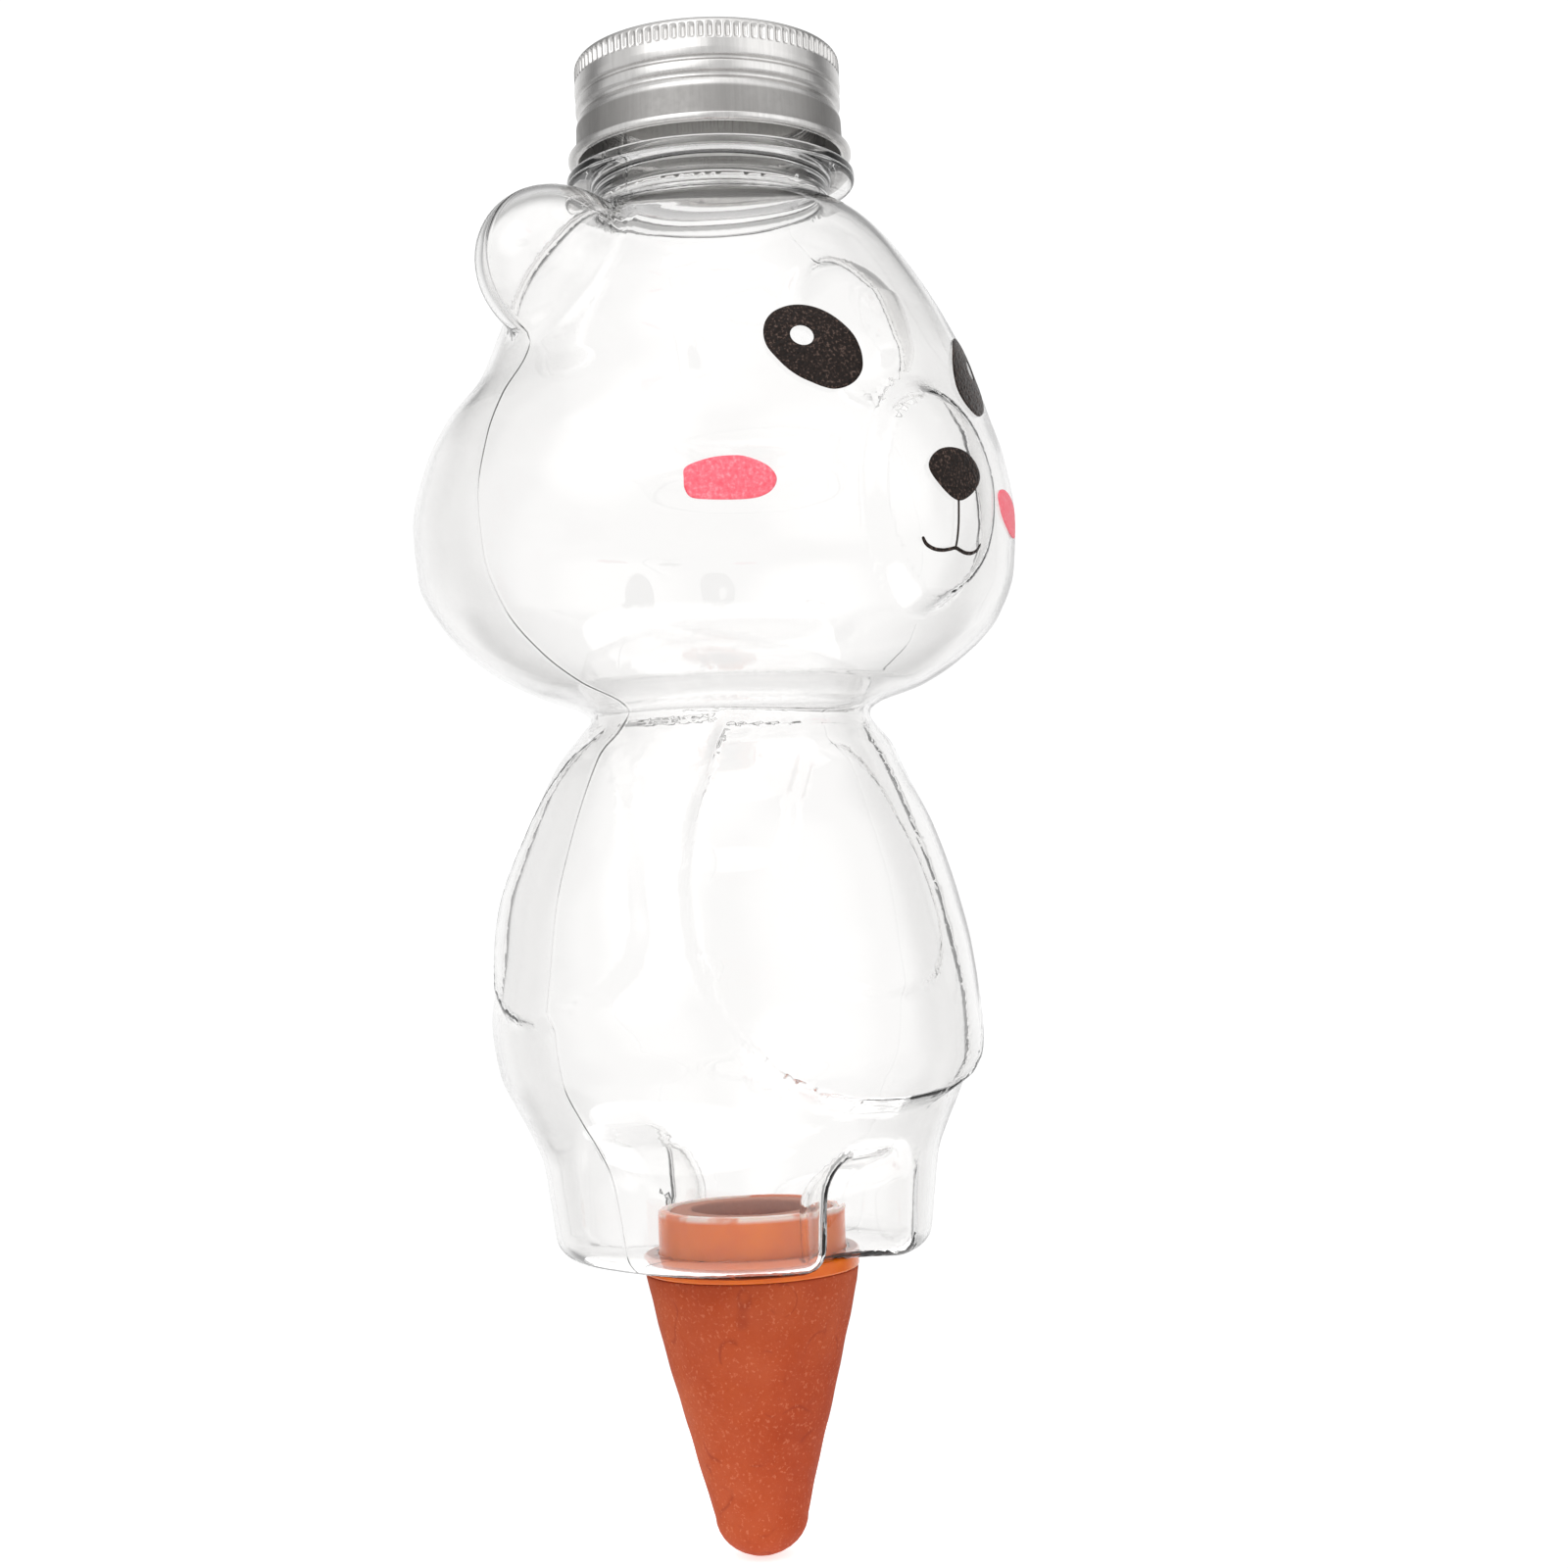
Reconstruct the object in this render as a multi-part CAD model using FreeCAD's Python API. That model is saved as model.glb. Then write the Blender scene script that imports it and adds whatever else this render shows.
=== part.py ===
"""Self-watering bottle: a clear blow-moulded bear-shaped bottle with a screw cap,
an orange collar in its base and a hollow terracotta spike held by the collar.

Millimetres. +Z up. z = 0 is the underside of the collar's flange, which is also the
top of the clay cone's body and the height of the soil; the bottle's soles rest on the
flange at z = SOLE_Z. The origin is on the bottle's axis. The bear faces -Y, its right
side is -X.
"""
import FreeCAD, Part
import math
import os
from FreeCAD import Vector as V

os.makedirs("parts", exist_ok=True)

# ------------------------------------------------------------------ driving dimensions
WALL = 0.9                # blown wall of the bottle
SOLE_Z = 1.9              # height of the soles
LEG_CUT_Z = 20.0          # levels where the shell is divided into pieces
HEAD_CUT_Z = 80.6
NECK_CUT_Z = 156.6
SOLE_R = 3.2              # rounding of the soles' edge
# sections of the bottle: z, half width in X, depth to the front, depth to the back, exponent
SECTIONS = [
    (0.0, 23.60, 23.50, 26.50, 2.60),
    (2.2, 24.10, 23.80, 27.25, 2.60),
    (5.6, 24.70, 24.30, 27.90, 2.60),
    (10.7, 25.55, 24.65, 28.20, 2.60),
    (15.8, 26.76, 25.36, 28.73, 2.50),
    (20.9, 29.65, 27.17, 30.25, 2.35),
    (23.8, 31.78, 28.48, 31.41, 2.25),
    (29.7, 35.15, 30.52, 34.58, 2.10),
    (37.0, 36.26, 30.70, 36.65, 2.00),
    (45.7, 35.04, 30.00, 34.52, 2.00),
    (53.0, 33.83, 28.11, 34.05, 2.00),
    (63.2, 30.35, 25.14, 30.62, 2.00),
    (73.4, 25.46, 20.68, 26.87, 2.00),
    (78.5, 21.88, 19.87, 22.51, 2.00),
    (80.6, 20.55, 20.45, 20.65, 2.00),
    (81.8, 21.90, 21.90, 21.90, 2.00),
    (84.3, 29.09, 28.19, 27.70, 2.00),
    (88.0, 35.99, 33.02, 34.07, 2.00),
    (93.8, 42.46, 37.99, 39.59, 2.00),
    (101.0, 45.79, 40.17, 43.44, 2.00),
    (108.4, 46.40, 40.55, 43.83, 2.00),
    (117.0, 44.54, 39.80, 41.57, 2.00),
    (123.0, 41.67, 38.53, 38.39, 2.00),
    (128.8, 37.32, 37.79, 32.40, 2.00),
    (136.8, 33.82, 34.25, 28.56, 2.00),
    (144.8, 29.18, 29.48, 25.92, 2.00),
    (150.0, 24.93, 25.67, 22.62, 2.00),
    (153.0, 22.01, 22.39, 21.18, 2.00),
    (154.6, 19.50, 19.70, 19.30, 2.00),
    (155.5, 17.90, 17.90, 17.90, 2.00),
    (156.0, 17.35, 17.35, 17.35, 2.00),
]
SHOULDER_Z = 156.0        # the head's shoulder ends and the neck begins
# raised areas: half angle from the front by height, for the belly; half width by height for an arm
BELLY_H = 1.7
BELLY = [(80, 49), (74, 53), (68, 57), (61, 59), (55, 59), (47, 57), (38, 51), (33, 45),
         (29, 38), (26, 29), (24.2, 18), (23.5, 0)]
ARM_H = 1.5
ARM_AT = 96.0             # degrees from the front
ARM = [(79, 5), (76, 12), (70, 20), (60, 26.5), (50, 29.5), (45, 27.5), (41, 21.5),
       (38.3, 13.5), (37, 6), (36.6, 0)]
MAP_R = 33.0              # radius on which the two outlines above are unrolled
SNOUT_H = 4.3
SNOUT_Z = 107.5
SNOUT_HALF_W = 12.8
SNOUT_HALF_H = 16.2
SNOUT_MAP_R = 41.5
# legs
NOTCH_HALF_W = 8.0        # half width of the gap between the legs, front and back
NOTCH_Y = 15.0            # the gap's floor, from the axis
NOTCH_TOP = 14.2          # its roof at the floor
NOTCH_SLOPE = 0.33        # the roof's rise outwards
NOTCH_CORNER_R = 4.5
# ears
EAR_C = (29.6, 0.0, 142.2)
EAR_R = (14.0, 9.2, 11.6)
# neck
NECK_R = 17.35
BORE_R = 15.9
NECK_TOP = 176.5
RING_R = 21.35
RING_Z0 = 159.1
RING_Z1 = 161.0
THREAD_LEAD = 3.175
THREAD_TURNS = 1.25
THREAD_Z = 168.6          # height of the bottle thread's start
THREAD_TIP_R = 18.45
# cap
CAP_TOP = 178.2
CAP_WALL = 0.45
CAP_R = 19.7
CAP_BOTTOM = 162.9
BEAD_R = 21.0
CAP_THREAD_TIP_R = 17.95
LINER_T = 1.2
LINER_R = 18.6
# collar
PLUG_R = 13.4
COLLAR_BORE_R = 12.0
PLUG_TOP = 9.0
FLANGE_R = 15.6
FLANGE_T = SOLE_Z
BASE_HOLE_R = 13.45
# cone
SPIGOT_R = 11.95
SPIGOT_TOP = 8.8
SPIGOT_BORE_R = 8.6
CONE = [(15.5, 0.0), (15.2, -2.3), (14.05, -7.45), (12.46, -13.8), (10.85, -20.1),
        (9.17, -26.5), (7.5, -32.8), (6.8, -35.4)]
CONE_TIP_Z = -41.2
CONE_BORE = [(8.6, -1.0), (8.0, -8.0), (5.6, -20.0), (3.4, -31.0)]
CONE_BORE_END = -34.0
# printed films
FILM_GAP = 0.02
FILM_T = 0.20
# outlines as (degrees from the front, height); the bear's right side, mirrored for the left
EYE = [(-14.9, 127.2), (-14.5, 125.7), (-14.9, 123.9), (-16.7, 122.3), (-19.3, 121.2),
       (-22.1, 120.7), (-24.5, 120.9), (-27.0, 121.5), (-29.3, 122.2), (-31.7, 123.4),
       (-33.9, 125.1), (-35.2, 126.5), (-35.6, 128.2), (-35.0, 129.9), (-33.3, 131.3),
       (-30.7, 132.2), (-28.1, 132.6), (-25.4, 132.6), (-22.7, 132.2), (-20.2, 131.4),
       (-17.9, 130.2), (-15.9, 128.7)]
# the left cheek is printed nearer the front than the right one
CHEEK_LEFT = [(25.6, 109.2), (26.3, 107.6), (28.0, 106.0), (30.5, 104.8), (33.5, 104.0), (37.0, 103.6),
              (40.5, 103.8), (42.0, 104.5), (42.3, 106.0), (42.2, 107.6), (41.2, 109.2), (38.5, 110.2),
              (35.0, 110.9), (31.5, 111.2), (28.2, 110.9), (26.3, 110.2)]
CHEEK = [(-35.3, 108.1), (-36.1, 106.7), (-38.0, 105.8), (-40.5, 105.4), (-44.0, 105.3),
         (-48.0, 105.4), (-50.4, 105.7), (-51.4, 106.8), (-51.5, 108.2), (-51.3, 109.5),
         (-49.3, 110.3), (-46.3, 110.9), (-43.3, 111.1), (-41.0, 111.0), (-38.2, 110.3),
         (-36.3, 109.4)]
NOSE = [(0.0, 106.0), (-2.0, 106.4), (-4.3, 107.5), (-6.3, 109.0), (-6.9, 110.3), (-6.0, 111.6),
        (-4.2, 112.6), (-2.2, 113.1), (0.0, 113.25), (2.2, 113.1), (4.2, 112.6), (6.0, 111.6),
        (6.9, 110.3), (6.3, 109.0), (4.3, 107.5), (2.0, 106.4)]
LINE_HALF_W = 0.22        # half width of the mouth's lines, mm
MOUTH = [(-8.0, 100.8), (-7.0, 99.9), (-5.2, 99.35), (-3.2, 99.25), (-1.5, 99.45), (0.0, 99.7),
         (1.5, 99.45), (3.2, 99.25), (5.2, 99.35), (7.0, 99.9), (8.0, 100.8)]
MOUTH_LINE_TOP = 105.9


# ------------------------------------------------------------------ the bottle's outer shape
def pchip(xs, ys):
    """Monotone cubic through the points."""
    n = len(xs)
    h = [xs[i + 1] - xs[i] for i in range(n - 1)]
    d = [(ys[i + 1] - ys[i]) / h[i] for i in range(n - 1)]
    m = [0.0] * n
    for i in range(1, n - 1):
        if d[i - 1] * d[i] > 0:
            w1 = 2 * h[i] + h[i - 1]
            w2 = h[i] + 2 * h[i - 1]
            m[i] = (w1 + w2) / (w1 / d[i - 1] + w2 / d[i])
    m[0] = d[0]
    m[-1] = d[-1]

    def f(x):
        x = min(max(x, xs[0]), xs[-1])
        i = 0
        while i < n - 2 and x > xs[i + 1]:
            i += 1
        t = (x - xs[i]) / h[i]
        return (ys[i] * (1 + 2 * t) * (1 - t) ** 2 + h[i] * m[i] * t * (1 - t) ** 2
                + ys[i + 1] * t * t * (3 - 2 * t) + h[i] * m[i + 1] * t * t * (t - 1))
    return f


ZS = [s[0] for s in SECTIONS]
half_x = pchip(ZS, [s[1] for s in SECTIONS])
front_y = pchip(ZS, [s[2] for s in SECTIONS])
back_y = pchip(ZS, [s[3] for s in SECTIONS])
expo = pchip(ZS, [s[4] for s in SECTIONS])


def outline(rows):
    right = [(math.radians(w) * MAP_R, z) for z, w in rows]
    return right + [(-x, z) for x, z in reversed(right) if x > 0]


BELLY_POLY = outline(BELLY)
ARM_POLY = outline(ARM)


def inside_depth(px, py, poly):
    """Distance to the polygon's edge, positive inside."""
    best = 1e9
    inside = False
    n = len(poly)
    for i in range(n):
        ax, ay = poly[i]
        bx, by = poly[(i + 1) % n]
        ex, ey = bx - ax, by - ay
        wx, wy = px - ax, py - ay
        t = min(max((wx * ex + wy * ey) / (ex * ex + ey * ey + 1e-12), 0.0), 1.0)
        best = min(best, (wx - ex * t) ** 2 + (wy - ey * t) ** 2)
        if (ay > py) != (by > py) and px < (bx - ax) * (py - ay) / (by - ay) + ax:
            inside = not inside
    best = math.sqrt(best)
    return best if inside else -best


def smooth(x):
    x = min(max(x, 0.0), 1.0)
    return x * x * (3 - 2 * x)


def outer_r(phi, z):
    """Radius of the bottle's outer face; phi in radians from the front, towards +X."""
    z = min(max(z, SOLE_Z), SHOULDER_Z)
    s, c = abs(math.sin(phi)), math.cos(phi)
    b = front_y(z) if c > 0 else back_y(z)
    n = expo(z)
    r = ((s / half_x(z)) ** n + (abs(c) / b) ** n) ** (-1.0 / n)
    p = (phi + math.pi) % (2 * math.pi) - math.pi
    if 20 < z < 82:
        r += BELLY_H * smooth((inside_depth(p * MAP_R, z, BELLY_POLY) + 0.6) / 2.2) * smooth((81 - z) / 10)
        q = abs(p) - math.radians(ARM_AT)
        r += ARM_H * smooth((inside_depth(q * MAP_R, z, ARM_POLY) + 0.6) / 2.4) * smooth((80 - z) / 6)
    if 88 < z < 127:
        e = math.hypot(p * SNOUT_MAP_R / SNOUT_HALF_W, (z - SNOUT_Z) / SNOUT_HALF_H)
        r += SNOUT_H * smooth((1.03 - e) / 0.62)
    if z < SOLE_Z + SOLE_R:
        r -= SOLE_R - math.sqrt(max(SOLE_R ** 2 - (SOLE_R + SOLE_Z - z) ** 2, 0.0))
    return r


N_PHI = 96
PHIS = [2 * math.pi * i / N_PHI for i in range(N_PHI)]
_cache = {}


def r_at(i, z):
    key = (i, round(z, 4))
    if key not in _cache:
        _cache[key] = outer_r(PHIS[i], z)
    return _cache[key]


def inner_r(i, z):
    """The outer face moved inwards by the wall, measured in the plane through the axis."""
    best = 1e9
    for k in range(-6, 7):
        dz = WALL * k / 6.0
        zz = z + dz
        if zz < SOLE_Z or zz > SHOULDER_Z:
            continue
        best = min(best, r_at(i, zz) - math.sqrt(max(WALL ** 2 - dz ** 2, 0.0)))
    return best


def skin_solid(zs, radius_of):
    """Closed solid bounded by one smooth face through rings of control points, and two flats."""
    rows = []
    for z in zs:
        ring = []
        for i in range(N_PHI):
            r = radius_of(i, z)
            ring.append(V(r * math.sin(PHIS[i]), -r * math.cos(PHIS[i]), z))
        rows.append(ring)
    nv = len(zs)
    surf = Part.BSplineSurface()
    # u around (periodic), v upwards (clamped)
    poles = [[rows[j][i] for j in range(nv)] for i in range(N_PHI)]
    uk = [float(k) for k in range(N_PHI + 1)]
    um = [1] * (N_PHI + 1)
    vk = [float(k) for k in range(nv - 2)]
    vm = [4] + [1] * (nv - 4) + [4]
    surf.buildFromPolesMultsKnots(poles, um, vm, uk, vk, True, False, 3, 3)
    side = surf.toShape()
    ends = []
    for v in (vk[0], vk[-1]):
        edge = surf.vIso(v).toShape()
        ends.append(Part.Face(Part.Wire([edge])))
    shell = Part.makeShell([side] + ends)
    solid = Part.makeSolid(shell)
    if not solid.isValid():
        sew = Part.Shape(shell)
        sew.sewShape(0.01)
        solid = Part.makeSolid(Part.Shell(sew.Faces))
    if solid.Volume < 0:
        solid.reverse()
    return solid


OUTER_Z = [SOLE_Z + d for d in (0, 0.35, 0.9, 1.7, 2.8)] + [
           6.4, 8.4, 10.7, 13, 15.5, 17.5, 19.5, 21, 22.2, 23.2, 24.2, 25.2, 26.5,
           28, 30, 32.5, 34.5, 36, 37.2, 38.4, 40, 42.5, 45.5, 49, 53, 57, 61, 65, 69, 72.5, 75.5,
           77.5, 79, 80, 80.7, 81.3, 81.9, 82.6, 83.4, 84.3, 85.4, 86.7, 88.3, 90.3, 92.5, 95, 98,
           101, 104, 107, 110, 113, 116, 119, 122, 125, 128, 131.5, 135, 139, 143, 146.5, 149.5,
           151.7, 153.2, 154.2, 154.9, 155.4, 155.75, 156]
INNER_Z = [SOLE_Z + WALL + d for d in (0, 0.35, 0.9, 1.7)] + [z for z in OUTER_Z if 5.5 < z < 153] + \
          [153.0, 153.9, 154.5, 154.9, 155.1]


def cyl(r, z0, z1):
    return Part.makeCylinder(r, z1 - z0, V(0, 0, z0))


def revolve(points):
    """Solid of revolution about Z from (radius, z) points."""
    pts = [V(r, 0, z) for r, z in points]
    return Part.Face(Part.makePolygon(pts + [pts[0]])).revolve(V(0, 0, 0), V(0, 0, 1), 360)


def ear(side, grow=0.0):
    e = Part.makeSphere(1.0)
    m = FreeCAD.Matrix()
    m.scale(EAR_R[0] + grow, EAR_R[1] + grow, EAR_R[2] + grow)
    e = e.transformGeometry(m)
    e.translate(V(side * EAR_C[0], EAR_C[1], EAR_C[2]))
    return e


def notch(front, grow=0.0):
    """The gap between the legs, its roof rising outwards; grow moves its walls outwards."""
    hw = NOTCH_HALF_W + grow
    y0 = NOTCH_Y - grow
    y1 = NOTCH_Y + 30.0
    top = NOTCH_TOP + grow * 1.05 - NOTCH_SLOPE * grow
    side = Part.makePolygon([V(-hw, y0, -6), V(-hw, y1, -6), V(-hw, y1, top + NOTCH_SLOPE * (y1 - y0)),
                             V(-hw, y0, top), V(-hw, y0, -6)])
    tool = Part.Face(side).extrude(V(2 * hw, 0, 0))
    edges = []
    for e in tool.Edges:
        a, b = e.Vertexes[0].Point, e.Vertexes[-1].Point
        roof = abs(a.y - b.y) > 1 and min(a.z, b.z) > 0
        floor = abs(a.y - y0) < 0.01 and abs(b.y - y0) < 0.01 and max(a.z, b.z) > 0
        if roof or floor:
            edges.append(e)
    tool = tool.makeFillet(NOTCH_CORNER_R + grow, edges)
    if front:
        tool.rotate(V(0, 0, 0), V(0, 0, 1), 180)
    return tool


def thread(root_r, tip_r, z0, turns, base_w, tip_w, bury):
    """Helical ridge on a cylinder; bury is how far its foot goes past the wall."""
    helix = Part.makeHelix(THREAD_LEAD, THREAD_LEAD * turns, root_r)
    helix.translate(V(0, 0, z0))
    sgn = 1 if tip_r > root_r else -1
    foot = root_r - sgn * bury
    prof = Part.makePolygon([V(foot, 0, z0 - base_w / 2), V(tip_r, 0, z0 - tip_w / 2),
                             V(tip_r, 0, z0 + tip_w / 2), V(foot, 0, z0 + base_w / 2),
                             V(foot, 0, z0 - base_w / 2)])
    return Part.Wire(helix.Edges).makePipeShell([prof], True, True)


parts = {}

# ------------------------------------------------------------------ the bottle's shell, nodes bottle_...
body = skin_solid(OUTER_Z, r_at)
void = skin_solid(INNER_Z, inner_r)
body = body.cut(notch(True)).cut(notch(False))
void = void.cut(notch(True, WALL)).cut(notch(False, WALL))
for side in (-1, 1):
    body = body.fuse(ear(side))
    void = void.fuse(ear(side, -WALL))
neck = revolve([(0, SHOULDER_Z - 1.5), (NECK_R, SHOULDER_Z - 1.5), (NECK_R, RING_Z0), (RING_R - 0.5, RING_Z0),
                (RING_R, RING_Z0 + 0.5), (RING_R, RING_Z1 - 0.9), (RING_R - 0.4, RING_Z1 - 0.45),
                (NECK_R, RING_Z1), (NECK_R, NECK_TOP - 0.4), (NECK_R - 0.4, NECK_TOP), (0, NECK_TOP)])
ridge = thread(NECK_R, THREAD_TIP_R, THREAD_Z, THREAD_TURNS, 1.5, 0.5, 0.35)
body = body.fuse(neck).fuse(ridge)
void = void.fuse(cyl(BORE_R, 150.0, NECK_TOP + 1))
void = void.fuse(cyl(BASE_HOLE_R, SOLE_Z - 1.0, SOLE_Z + WALL + 1.0))
shell = body.cut(void)
shell = sorted(shell.Solids, key=lambda s: -s.Volume)[0]


def block(x0, x1, y0, y1, z0, z1):
    return Part.makeBox(x1 - x0, y1 - y0, z1 - z0, V(x0, y0, z0))


# the one blown shell is held as pieces that meet face to face: front and back at the
# mould's parting plane, and neck, head, body and legs at plain levels
FAR = 60.0
bands = [("bottle_head", HEAD_CUT_Z, NECK_CUT_Z), ("bottle_body", LEG_CUT_Z, HEAD_CUT_Z)]
parts["bottle_neck"] = shell.common(block(-FAR, FAR, -FAR, FAR, NECK_CUT_Z, NECK_TOP + 5))
for name, z0, z1 in bands:
    parts[name + "_front"] = shell.common(block(-FAR, FAR, -FAR, 0, z0, z1))
    parts[name + "_back"] = shell.common(block(-FAR, FAR, 0, FAR, z0, z1))
for end, y0, y1 in (("front", -FAR, 0), ("back", 0, FAR)):
    for side, x0, x1 in (("right", -FAR, 0), ("left", 0, FAR)):
        parts["bottle_leg_%s_%s" % (side, end)] = shell.common(block(x0, x1, y0, y1, -5, LEG_CUT_Z))
for name in [n for n in parts if n.startswith("bottle_")]:
    found = sorted(parts[name].Solids, key=lambda s: -s.Volume)
    parts[name] = found[0]

# ------------------------------------------------------------------ cap_shell and cap_liner
w = CAP_WALL
cap_outer = [(0, CAP_TOP), (CAP_R - 1.7, CAP_TOP), (CAP_R - 0.9, CAP_TOP - 0.25), (CAP_R - 0.25, CAP_TOP - 0.9),
             (CAP_R, CAP_TOP - 1.7), (CAP_R + 0.05, 172.8), (CAP_R - 0.5, 172.4), (CAP_R - 0.5, 171.9),
             (CAP_R, 171.3), (CAP_R, 170.6), (CAP_R - 0.5, 170.1), (CAP_R - 0.5, 169.7), (CAP_R - 0.1, 168.9),
             (CAP_R, 168.2), (CAP_R + 0.1, 164.2), (BEAD_R - 0.4, 164.2), (BEAD_R, 163.8), (BEAD_R, 163.3),
             (BEAD_R - 0.4, CAP_BOTTOM)]
cap_inner = [(CAP_R - w, CAP_BOTTOM), (CAP_R - w, 164.6), (CAP_R - w - 0.05, 168.8), (CAP_R - 0.5 - w, 169.6),
             (CAP_R - 0.5 - w, 172.6), (CAP_R - w - 0.1, 173.2), (CAP_R - w - 0.1, CAP_TOP - 1.6),
             (CAP_R - w - 0.6, CAP_TOP - w), (0, CAP_TOP - w)]
cap = revolve(cap_outer + cap_inner)
# the rolled thread: the same helix as the bottle's, half a turn's rise below it
cap_ridge = thread(CAP_R - w - 0.05, CAP_THREAD_TIP_R, THREAD_Z - THREAD_LEAD / 2, 1.0, 1.2, 0.4, 0.25)
parts["cap_shell"] = cap.fuse(cap_ridge)
parts["cap_liner"] = cyl(LINER_R, NECK_TOP, NECK_TOP + LINER_T)

# ------------------------------------------------------------------ spike_collar
parts["spike_collar"] = revolve([(COLLAR_BORE_R, 0), (FLANGE_R - 0.3, 0), (FLANGE_R, 0.3),
                                 (FLANGE_R, FLANGE_T - 0.3), (FLANGE_R - 0.3, FLANGE_T), (PLUG_R, FLANGE_T), (PLUG_R, PLUG_TOP - 0.5),
                                 (PLUG_R - 0.4, PLUG_TOP), (COLLAR_BORE_R, PLUG_TOP)])

# ------------------------------------------------------------------ terracotta_cone
r_tip, z_tip = CONE[-1]
tip = [(r_tip * math.cos(math.radians(a)), z_tip - (z_tip - CONE_TIP_Z) * math.sin(math.radians(a)))
       for a in (12, 24, 36, 48, 60, 72, 82)] + [(0, CONE_TIP_Z)]
spigot = [(SPIGOT_BORE_R, SPIGOT_TOP), (SPIGOT_R - 0.5, SPIGOT_TOP), (SPIGOT_R, SPIGOT_TOP - 0.5), (SPIGOT_R, 0)]
bore = [(0, CONE_BORE_END), (CONE_BORE[-1][0] * 0.7, CONE_BORE_END + 0.9)] + list(reversed(CONE_BORE))
parts["terracotta_cone"] = revolve(spigot + CONE + tip + bore)

# ------------------------------------------------------------------ printed films
FILM_Z = [z for z in OUTER_Z if 90 <= z <= 140]
film_out = skin_solid(FILM_Z, lambda i, z: r_at(i, z) + FILM_GAP + FILM_T)
film_in = skin_solid(FILM_Z, lambda i, z: r_at(i, z) + FILM_GAP)
band = film_out.cut(film_in)


def on_surface(deg, z):
    p = math.radians(deg)
    r = outer_r(p, z)
    return V(r * math.sin(p), -r * math.cos(p), z)


def prism(points, deg0, curved=True):
    """Extrude an outline that lies on the surface, along the outward direction at deg0."""
    d = V(math.sin(math.radians(deg0)), -math.cos(math.radians(deg0)), 0)
    flat = [q - d * (q.dot(d) - 30.0) for q in [on_surface(a, z) for a, z in points]]
    if curved:
        c = Part.BSplineCurve()
        c.interpolate(flat, PeriodicFlag=True)
        wire = Part.Wire([c.toShape()])
    else:
        wire = Part.makePolygon(flat + [flat[0]])
    return Part.Face(wire).extrude(d * 30.0)


def film(points, deg0, curved=True):
    piece = band.common(prism(points, deg0, curved))
    return max(piece.Solids, key=lambda q: q.Volume)


def mirror(points):
    return [(-a, z) for a, z in points]


def ribbon(points, half, radius):
    """Outline of a line of even width along the points."""
    xy = [(math.radians(a) * radius, z) for a, z in points]
    left, right = [], []
    for i, (x, z) in enumerate(xy):
        x0, z0 = xy[max(i - 1, 0)]
        x1, z1 = xy[min(i + 1, len(xy) - 1)]
        l = math.hypot(x1 - x0, z1 - z0)
        nx, nz = -(z1 - z0) / l, (x1 - x0) / l
        left.append((math.degrees((x + nx * half) / radius), z + nz * half))
        right.append((math.degrees((x - nx * half) / radius), z - nz * half))
    return left + list(reversed(right))


parts["eye_print_right"] = film(EYE, -25.2)
parts["eye_print_left"] = film(mirror(EYE), 25.2)
parts["cheek_print_right"] = film(CHEEK, -43.5)
parts["cheek_print_left"] = film(CHEEK_LEFT, 34.0)
parts["nose_print"] = film(NOSE, 0.0)
smile = prism(ribbon(MOUTH, LINE_HALF_W, 44.8), 0.0, False)
stem_w = math.degrees(LINE_HALF_W / 44.8)
stem = prism([(-stem_w, 99.6), (-stem_w, MOUTH_LINE_TOP), (stem_w, MOUTH_LINE_TOP), (stem_w, 99.6)], 0.0, False)
parts["mouth_print"] = max(band.common(smile.fuse(stem)).Solids, key=lambda q: q.Volume)

# ------------------------------------------------------------------ one file per node
for name, shape in parts.items():
    shape.exportStep("parts/%s.step" % name)
    print("%-20s valid %s  volume %.1f  solids %d" % (name, shape.isValid(), shape.Volume, len(shape.Solids)))
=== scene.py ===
# Looks of the self-watering bottle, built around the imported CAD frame. Metres; shape tables in millimetres.
import math

import bmesh
import bpy
import numpy as np
from mathutils import Matrix, Vector


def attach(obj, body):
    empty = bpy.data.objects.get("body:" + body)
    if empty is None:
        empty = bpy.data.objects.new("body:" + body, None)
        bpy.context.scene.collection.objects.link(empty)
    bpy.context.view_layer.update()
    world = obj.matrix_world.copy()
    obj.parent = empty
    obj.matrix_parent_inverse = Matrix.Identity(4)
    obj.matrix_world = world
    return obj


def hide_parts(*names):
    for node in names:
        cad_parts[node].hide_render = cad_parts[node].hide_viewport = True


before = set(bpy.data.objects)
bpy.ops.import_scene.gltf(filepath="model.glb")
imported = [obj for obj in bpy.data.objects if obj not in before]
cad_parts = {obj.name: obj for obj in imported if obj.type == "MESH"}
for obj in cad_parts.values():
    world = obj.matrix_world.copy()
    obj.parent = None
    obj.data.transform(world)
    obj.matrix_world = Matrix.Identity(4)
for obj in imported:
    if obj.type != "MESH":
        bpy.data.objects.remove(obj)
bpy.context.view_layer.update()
MM = 0.001

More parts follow.
